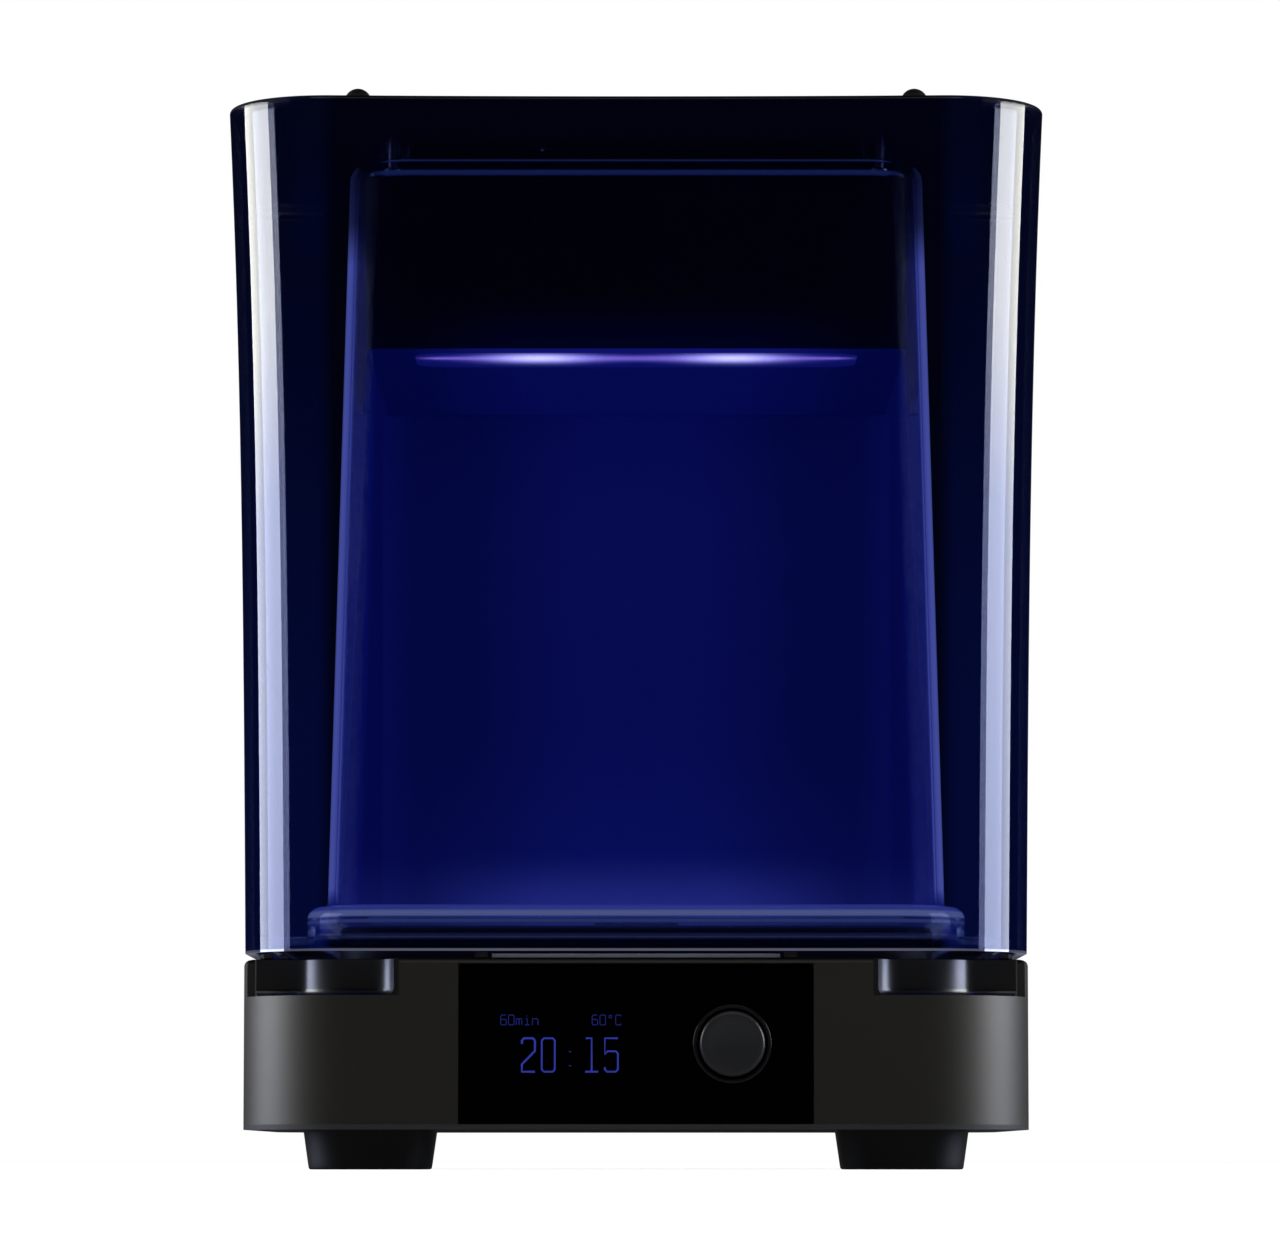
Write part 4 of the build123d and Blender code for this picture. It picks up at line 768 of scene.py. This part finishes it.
def makeLiner():
    low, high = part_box("hood_liner")
    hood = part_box("hood_cover")
    sizes = {
        "wall": 2.5, "draftX": 6.0, "draftY": 7.0, "corner": 20.0, "shoulder": 5.0, "footHeight": 15.2,
        "skirtStep": 6.5, "skirtRadius": 4.0, "flangeTop": 2.4, "bottomInsetX": 25.9, "bottomInsetY": 21.7,
        "inner": 1.6, "rimInset": 0.3,
    }
    rearY = high.y / mm
    top = high.z / mm
    bottom = low.z / mm
    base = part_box("base_housing")
    halfX = base[1].x / mm - sizes["rimInset"] - sizes["bottomInsetX"]
    halfY = base[1].y / mm - sizes["rimInset"] - sizes["bottomInsetY"]
    foot = hood[0].z / mm + sizes["footHeight"]
    flangeOut = high.x / mm - halfX
    skirt, corner, blend = sizes["skirtStep"], sizes["skirtRadius"], sizes["inner"]
    # The section: how far each level stands out from the tub's foot, and its height.
    section = [(flangeOut, bottom + sizes["flangeTop"])]
    section += arc(skirt + blend, bottom + sizes["flangeTop"] + blend, blend, 270, 180, 5)
    section += arc(skirt - corner, foot - corner, corner, 0, 90, 8)
    section += arc(blend, foot + blend, blend, 270, 180, 5)
    section += [(0.0, foot + (top - sizes["shoulder"] - foot) * step / 12) for step in range(1, 12)]
    section += arc(-sizes["shoulder"], top - sizes["shoulder"], sizes["shoulder"], 0, 90, 8)
    rings = []
    for out, z in section:
        share = max(0.0, (z - foot) / (top - foot))
        x = halfX - sizes["draftX"] * share + out
        y = halfY - sizes["draftY"] * share + out
        path = fineStraights(outline(x, y, sizes["corner"] + out, rearY), 10)
        rings.append(level(path, z))
    centre = Vector((0.0, rearY, top)) * mm
    for share in (0.75, 0.5, 0.25, 0.0):
        rings.append([centre + (point - centre) * share for point in rings[len(section) - 1]])
    mesh = meshFrom("linerShell", *skin(rings, False), outward=False)
    obj = shapeObject("linerShell", mesh, finishes["liner_clear"])
    thicken(obj, sizes["wall"] * mm)
    return place(obj, "hood", "liner_clear", "hood_liner")


makeLiner()
print("liner made")


# Small hood pieces

def makeDomes():
    low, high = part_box("hood_domes")
    radius = (high.y - low.y) / 2 / mm
    height = (high.z - low.z) / mm
    sphere = (radius ** 2 + height ** 2) / (2 * height)
    half = atan2(radius, sphere - height)
    profile = [(0.0, 0.0), (radius, 0.0)]
    steps = 10
    for step in range(steps + 1):
        angle = half * (1 - step / steps)
        profile.append((sphere * sin(angle), sphere * cos(angle) - (sphere - height)))
    pattern = lathe("domePattern", profile, (0, 0, 0), "bumper_rubber", steps=40)
    side = high.x - radius * mm
    y = (low.y + high.y) / 2
    made = repeated("hoodBumpers", "bumper_rubber", pattern, [(-side, y, low.z), (side, y, low.z)])
    return place(made, "hood", "bumper_rubber", "hood_domes")


def platePlaces(node):
    # Where the separate solids of a node stand: the middle of each connected mesh, with its box.
    form = bmesh.new()
    form.from_mesh(nodes[node].data)
    bmesh.ops.remove_doubles(form, verts=form.verts, dist=1e-6)
    boxes = []
    left = set(form.verts)
    while left:
        stack = [left.pop()]
        found = []
        while stack:
            vert = stack.pop()
            found.append(vert)
            near = {edge.other_vert(vert) for edge in vert.link_edges} & left
            left -= near
            stack += near
        low = Vector([min(vert.co[axis] for vert in found) for axis in range(3)])
        high = Vector([max(vert.co[axis] for vert in found) for axis in range(3)])
        boxes.append((low, high))
    form.free()
    return sorted(boxes, key=lambda box: (round(box[0].x, 4), round(box[0].y, 4)))


def makeScrews():
    # Pan-head screws with a hex recess; every group has its heads down.
    groups = {
        "bottom_screws": ("baseScrews", "root"), "foot_screws": ("footScrews", "root"),
        "lower_screws": ("sinkScrews", "root"), "rear_leaf_screws": ("rearLeafScrews", "root"),
        "hood_leaf_screws": ("hoodLeafScrews", "hood"), "spacer_screws": ("linerScrews", "hood"),
    }
    sizes = {"shank": 1.5, "recess": 1.25, "recessDepth": 0.45, "pitch": 0.5, "thread": 0.09, "steps": 36}
    for node, (name, body) in groups.items():
        boxes = platePlaces(node)
        low, high = boxes[0]
        radius = (high.x - low.x) / 2 / mm
        length = (high.z - low.z) / mm
        head = {"spacer_screws": 0.8, "bottom_screws": 1.0}.get(node, 1.6)
        steps = sizes["steps"]

        def ring(size, z, hexagonal=False):
            points = []
            for step in range(steps):
                angle = 2 * pi * step / steps
                reach = size
                if hexagonal:
                    reach = size / cos((angle + pi / 6) % (pi / 3) - pi / 6)
                points.append(Vector((reach * cos(angle), reach * sin(angle), z)) * mm)
            return points

        depth = min(sizes["recessDepth"], 0.6 * head)
        rounding = 0.45 * head
        rings = [ring(0.0, depth), ring(sizes["recess"], depth, True), ring(sizes["recess"], 0.0, True)]
        rings.append(ring(radius - rounding, 0.0))
        rings += [ring(*point) for point in arc(radius - rounding, rounding, rounding, 270, 360, 5)]
        rings += [ring(radius, head), ring(sizes["shank"], head)]
        turns = max(2, int((length - head - 0.6) / sizes["pitch"]))
        for index in range(turns):
            z = head + 0.3 + index * sizes["pitch"]
            rings += [ring(sizes["shank"] - sizes["thread"], z), ring(sizes["shank"], z + sizes["pitch"] / 2)]
        rings += [ring(sizes["shank"] * 0.7, length), ring(0.0, length)]
        made = copiesOf(rings, name, "steel_screw", boxes, 2 * pi, 7)
        place(made, body, "steel_screw", node)


def makeClips():
    # Posts that hold the liner under the hood, each with a rounded clip pad at its foot.
    boxes = platePlaces("hood_spacers")
    low, high = boxes[0]
    height = (high.z - low.z) / mm
    sizes = {"postRadius": 2.6, "boreRadius": 1.6, "padX": 3.7, "padY": 3.0, "padHeight": 2.4, "corner": 1.0}
    edge = 0.4
    rings = []
    pad = [(edge, 0.0), (0.0, edge), (0.0, sizes["padHeight"] - edge), (edge, sizes["padHeight"])]
    for inset, z in pad:
        path = outline(sizes["padX"] - inset, sizes["padY"] - inset, sizes["corner"], steps=6)
        rings.append(level(path, z))
    around = outline(sizes["padX"], sizes["padY"], sizes["corner"], steps=6)
    rings.insert(0, circled(around, sizes["boreRadius"], 0.0))
    for radius, z in arc(sizes["postRadius"] + 0.5, sizes["padHeight"] + 0.5, 0.5, 270, 180, 4):
        rings.append(circled(around, radius, z))
    for radius, z in (("postRadius", height), ("boreRadius", height), ("boreRadius", 0.0)):
        rings.append(circled(around, sizes[radius], z))
    made = copiesOf(rings, "linerClips", "clip_clear", boxes)
    return place(made, "hood", "liner_clear", "hood_spacers")


makeDomes()
makeScrews()
makeClips()
print("screws, bumpers and clips made")


# Feet: tapered blocks with rounded corners and a soft lower edge

def makeFeet():
    boxes = platePlaces("feet")
    sizes = {"taper": 1.8, "corner": 14.0, "edge": 0.7, "counterbore": 3.4, "hole": 1.6, "depth": 6.3}
    low, high = boxes[0]
    halfX = (high.x - low.x) / 2 / mm
    halfY = (high.y - low.y) / 2 / mm
    height = (high.z - low.z) / mm
    around = outline(halfX, halfY, sizes["corner"], steps=10)
    depth = sizes["depth"]
    bore = ("hole", height), ("hole", depth), ("counterbore", depth), ("counterbore", 0.0)
    rings = [circled(around, sizes[radius], z) for radius, z in bore]
    edge = arc(-sizes["edge"], sizes["edge"], sizes["edge"], 270, 360, 5)
    wall = [(0.0, sizes["edge"] + (height - sizes["edge"]) * step / 6) for step in range(1, 7)]
    for out, z in edge + wall:
        inset = sizes["taper"] * (1 - z / height) - out
        path = outline(halfX - inset, halfY - inset, sizes["corner"] - inset, steps=10)
        rings.append(level(path, z))
    rings.append(circled(around, sizes["hole"], height))
    made = copiesOf(rings, "rubberFeet", "foot_rubber", boxes)
    return place(made, "root", "foot_rubber", "feet")


makeFeet()


# Controls: knob, ring and the figures behind the panel

def makeKnob():
    low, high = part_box("knob")
    radius = (high.x - low.x) / 2 / mm
    length = (high.y - low.y) / mm
    sizes = {"edge": 1.2, "dish": 0.8, "dishRadius": 8.2, "bore": 3.02, "face": 1.6, "undercut": 0.5,
             "skirt": 0.9, "lip": 0.6}
    sphere = sizes["dishRadius"] ** 2 / (2 * sizes["dish"])
    profile = []
    for step in range(13):
        r = sizes["dishRadius"] * step / 12
        profile.append((r, sizes["dish"] - (sphere - (sphere ** 2 - r ** 2) ** 0.5)))
    profile += arc(radius - sizes["edge"], sizes["edge"], sizes["edge"], 270, 360, 8)
    profile += [(radius, length - sizes["skirt"]), (radius - sizes["undercut"], length - sizes["lip"])]
    profile += [(radius - sizes["undercut"], length), (sizes["bore"], length), (sizes["bore"], sizes["face"])]
    profile += [(0.0, sizes["face"])]
    knob = lathe("selectorKnob", profile, frontMiddle(low, high), "knob_plastic", "Y", 96)
    return place(knob, "knob", "knob_plastic", "knob")


def makeKnobRing():
    sizes = {"width": 1.2, "round": 0.3, "step": 0.05}
    low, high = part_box("knob_bezel")
    outer = (high.x - low.x) / 2 / mm
    height = (high.y - low.y) / mm
    inner = outer - sizes["width"]
    edge = sizes["round"]
    profile = [(inner, height), (inner, edge + sizes["step"])] + arc(inner + edge, edge, edge, 180, 270, 4)
    profile += arc(outer - edge, edge, edge, 270, 360, 4) + [(outer, height), (inner, height)]
    ring = lathe("knobRing", profile, frontMiddle(low, high), "knob_ring", "Y", 96)
    return place(ring, "root", "knob_ring", "knob_bezel")


strokes = {
    "0": [[(0.16, 0), (0, 0.07), (0, 0.93), (0.16, 1), (0.84, 1), (1, 0.93), (1, 0.07), (0.84, 0),
           (0.16, 0)]],
    "1": [[(0.05, 1), (0.5, 1), (0.5, 0)], [(0, 0), (1, 0)]],
    "2": [[(0, 0.83), (0, 0.93), (0.16, 1), (0.84, 1), (1, 0.93), (1, 0.62), (0, 0.22), (0, 0), (1, 0)]],
    "5": [[(1, 1), (0, 1), (0, 0.52), (0.2, 0.61), (0.84, 0.61), (1, 0.54), (1, 0.07), (0.84, 0),
           (0.16, 0), (0, 0.07), (0, 0.14)]],
    "6": [[(0.9, 1), (0.2, 1), (0, 0.85), (0, 0.1), (0.16, 0), (0.84, 0), (1, 0.1), (1, 0.45), (0.84, 0.55),
           (0, 0.55)]],
    "m": [[(0, 0), (0, 0.62), (0.38, 0.62), (0.5, 0.52), (0.5, 0)], [(0.5, 0.52), (0.62, 0.62), (0.9, 0.62),
                                                                   (1, 0.52), (1, 0)]],
    "i": [[(0.2, 0.62), (0.5, 0.62), (0.5, 0)], [(0.1, 0), (0.9, 0)], [(0.5, 0.86), (0.5, 0.93)]],
    "n": [[(0, 0), (0, 0.62), (0.8, 0.62), (1, 0.5), (1, 0)]],
    "o": [[(0.25, 0.72), (0.25, 0.96), (0.7, 0.96), (0.7, 0.72), (0.25, 0.72)]],
    "C": [[(1, 0.88), (0.84, 1), (0.16, 1), (0, 0.9), (0, 0.1), (0.16, 0), (0.84, 0), (1, 0.12)]],
    ":": [[(0.5, 0.17), (0.5, 0.19)], [(0.5, 0.59), (0.5, 0.61)]],
}


def writeFigures(name, finish, text, left, bottom, width, height, line, face):
    # Thin stroked figures on a plane facing -Y; text is (character, left edge) pairs.
    curve = bpy.data.curves.new(name, "CURVE")
    curve.dimensions = "3D"
    curve.bevel_depth = line / 2 * mm
    curve.bevel_resolution = 1
    curve.use_fill_caps = True
    for character, offset in text:
        for stroke in strokes[character]:
            spline = curve.splines.new("POLY")
            spline.points.add(len(stroke) - 1)
            for point, (x, z) in zip(spline.points, stroke):
                point.co = ((left + offset + x * width) * mm, 0.0, (bottom + z * height) * mm, 1.0)
    obj = linked(name, curve)
    mesh = plainMesh(obj)
    bpy.data.objects.remove(obj)
    for vert in mesh.vertices:
        vert.co.y = face + vert.co.y * 0.1
    mesh.name = name
    return place(shapeObject(name, mesh, finish), "root", "display_black")


def makeDisplay():
    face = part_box("control_panel")[0].y - 0.03 * mm
    big = lit("clockBlue", (0.022, 0.032, 0.30), 1.0)
    small = lit("labelBlue", (0.006, 0.010, 0.11), 1.0)
    clock = [("2", 0.0), ("0", 6.25), (":", 13.1), ("1", 19.9), ("5", 26.1)]
    writeFigures("clockFigures", big, clock, -35.9, 30.7, 4.1, 10.5, 0.68, face)
    minutes = [("6", 0.0), ("0", 2.45), ("m", 4.9), ("i", 7.5), ("n", 10.0)]
    writeFigures("minuteLabel", small, minutes, -42.6, 45.4, 1.75, 3.1, 0.35, face)
    degrees = [("6", 0.0), ("0", 2.45), ("o", 4.9), ("C", 7.4)]
    writeFigures("degreeLabel", small, degrees, -13.8, 45.4, 1.75, 3.1, 0.35, face)


makeKnob()
makeKnobRing()
makeDisplay()
print("controls made")


# Turntable: a clear platter with a rolled edge and rings turned into its top

def makePlatter():
    low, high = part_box("turntable")
    centre = middles([(low, high)])[0]
    radius = (high.x - low.x) / 2 / mm
    thick = (high.z - low.z) / mm
    sizes = {"bore": 5.1, "edge": 0.6, "ringPitch": 15.0, "ringDepth": 0.25, "ringHalf": 0.35}
    profile = [(sizes["bore"], 0.0)] + arc(radius - sizes["edge"], sizes["edge"], sizes["edge"], 270, 360, 4)
    profile += arc(radius - sizes["edge"], thick - sizes["edge"], sizes["edge"], 0, 90, 4)
    ring = radius - sizes["ringPitch"] / 2
    while ring > sizes["bore"] + 6:
        profile += [(ring + sizes["ringHalf"], thick), (ring, thick - sizes["ringDepth"]),
                    (ring - sizes["ringHalf"], thick)]
        ring -= sizes["ringPitch"]
    profile += [(sizes["bore"], thick), (sizes["bore"], 0.0)]
    platter = lathe("clearPlatter", profile, centre, "platter_clear", "Z", 128)
    return place(platter, "turntable", "platter_clear", "turntable")


def makeInletPin():
    low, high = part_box("power_inlet")
    centre = ((low.x + high.x) / 2, high.y, (low.z + high.z) / 2)
    profile = [(0.0, -9.0), (1.05, -9.0), (1.05, -1.2), (0.8, -0.7), (0.0, -0.7)]
    pin = lathe("inletPin", profile, centre, "encoder_metal", "Y", 32)
    return place(pin, "root", "encoder_metal")


makePlatter()
makeInletPin()
print("platter and inlet made")


# Camera, floor, lamps and background

camera = linked("camera", bpy.data.cameras.new("camera"))
viewpoint = {"lens": 168.27, "x": 1.26, "y": -2012.0, "z": 3.75, "tilt": 95.05}
camera.data.sensor_width = 36.0
camera.data.lens = viewpoint["lens"]
camera.location = [viewpoint[axis] * mm for axis in "xyz"]
camera.rotation_euler = (radians(viewpoint["tilt"]), 0.0, 0.0)
camera.data.clip_end = 50.0
bpy.context.scene.camera = camera


def sheet(name, corners, finish):
    mesh = bpy.data.meshes.new(name)
    mesh.from_pydata(corners, [], [(0, 1, 2, 3)])
    mesh.materials.append(finish)
    panel = linked(name, mesh)
    return panel


def rays(graph):
    # The shares of camera, glossy and transmitted rays.
    path = graph.add("ShaderNodeLightPath").socket.node.outputs
    return [Wire(graph, path[label]) for label in ("Is Camera Ray", "Is Glossy Ray", "Is Transmission Ray")]


def makeFloor():
    # White where it is looked at, dim where gloss reflects it.
    size = 6.0
    glossShare = 0.07
    finish = Finish("floorWhite")
    cameraRay, glossyRay, clearRay = rays(finish)
    seen = cameraRay + clearRay + glossyRay * glossShare
    tone = finish.mix(finish.noise(3 * mm), (0.50, 0.50, 0.51), (0.56, 0.56, 0.57))
    tone = finish.mix(glossyRay, tone, (0.06, 0.06, 0.06))
    glow = finish.mix(seen.math("MINIMUM", 1.0), black, (0.87, 0.87, 0.87))
    paper = finish.painted({"Base Color": tone, "Roughness": 0.9, "Specular IOR Level": 0.0,
                            "Emission Color": glow, "Emission Strength": 1.0})
    sheet("floor", [(-size, -size, 0), (size, -size, 0), (size, size, 0), (-size, size, 0)], paper)


def makeSoftbox(name, side, gain, frontY, rearY):
    # A tall panel beside the unit, brightest at its top, seen only in reflections and as light.
    distance, low, high = 0.95, 0.01, 0.62
    x = side * distance
    corners = [(x, frontY, low), (x, rearY, low), (x, rearY, high), (x, frontY, high)]
    finish = Finish(name)
    body = finish.mix(finish.z.ramp(0.10, 0.27), (0.41, 0.45, 0.61), (0.52, 0.56, 0.71))
    colour = finish.mix(finish.z.ramp(0.27, 0.34), body, (0.78, 0.785, 0.76))
    glow = finish.add("ShaderNodeEmission", {}, {"Color": colour, "Strength": gain})
    sheet(name, corners, finish.done(glow)).visible_camera = False


def areaLamp(name, location, target, width, height, power, colour):
    lamp = bpy.data.lights.new(name, "AREA")
    lamp.shape = "RECTANGLE"
    lamp.size = width
    lamp.size_y = height
    lamp.energy = power
    lamp.color = colour
    obj = linked(name, lamp)
    obj.location = location
    obj.rotation_euler = (Vector(target) - obj.location).to_track_quat("-Z", "Y").to_euler()


def makeWorld():
    world = bpy.data.worlds.new("studio")
    bpy.context.scene.world = world
    world.use_nodes = True
    graph = Graph(world.node_tree)
    world.node_tree.nodes.clear()
    cameraRay, glossyRay, clearRay = rays(graph)
    direction = graph.add("ShaderNodeTexCoord", {}, {}, "Generated")
    behind = graph.parts(direction)[1].ramp(0.99, 0.999, 0.0, 1.0, "SMOOTHSTEP")
    seen = (cameraRay + clearRay + glossyRay * behind).ramp(0.0, 1.0)
    dim = graph.add("ShaderNodeBackground", {},
                    {"Color": (0.92, 0.95, 1.0), "Strength": 0.22 - glossyRay * 0.217})
    white = graph.add("ShaderNodeBackground", {}, {"Color": (1.0, 1.0, 1.0), "Strength": 1.0})
    mixed = graph.add("ShaderNodeMixShader", {}, {0: seen, 1: dim, 2: white})
    sink = world.node_tree.nodes.new("ShaderNodeOutputWorld")
    world.node_tree.links.new(mixed.socket, sink.inputs["Surface"])


makeFloor()
makeSoftbox("softboxLeft", -1, 9.5, -0.33, 0.27)
makeSoftbox("softboxRight", 1, 9.8, -0.41, 0.17)
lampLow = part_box("lamp_window")[0]
areaLamp("lampGlow", (0.0, lampLow.y + 0.018, lampLow.z - 0.001), (0.0, lampLow.y + 0.018, 0.0), 0.13, 0.030,
         0.08, (0.14, 0.16, 1.0))
areaLamp("floorGlow", (0.0, -0.005, 0.0865), (0.0, -0.005, 0.3), 0.10, 0.10, 0.03, (0.14, 0.18, 1.0))
areaLamp("topLight", (0.0, -1.35, 1.45), (0.0, -0.1, 0.15), 1.5, 0.30, 1.8, (1.0, 0.98, 0.95))
makeWorld()
bpy.context.scene.view_settings.view_transform = "Standard"
print("stage made")
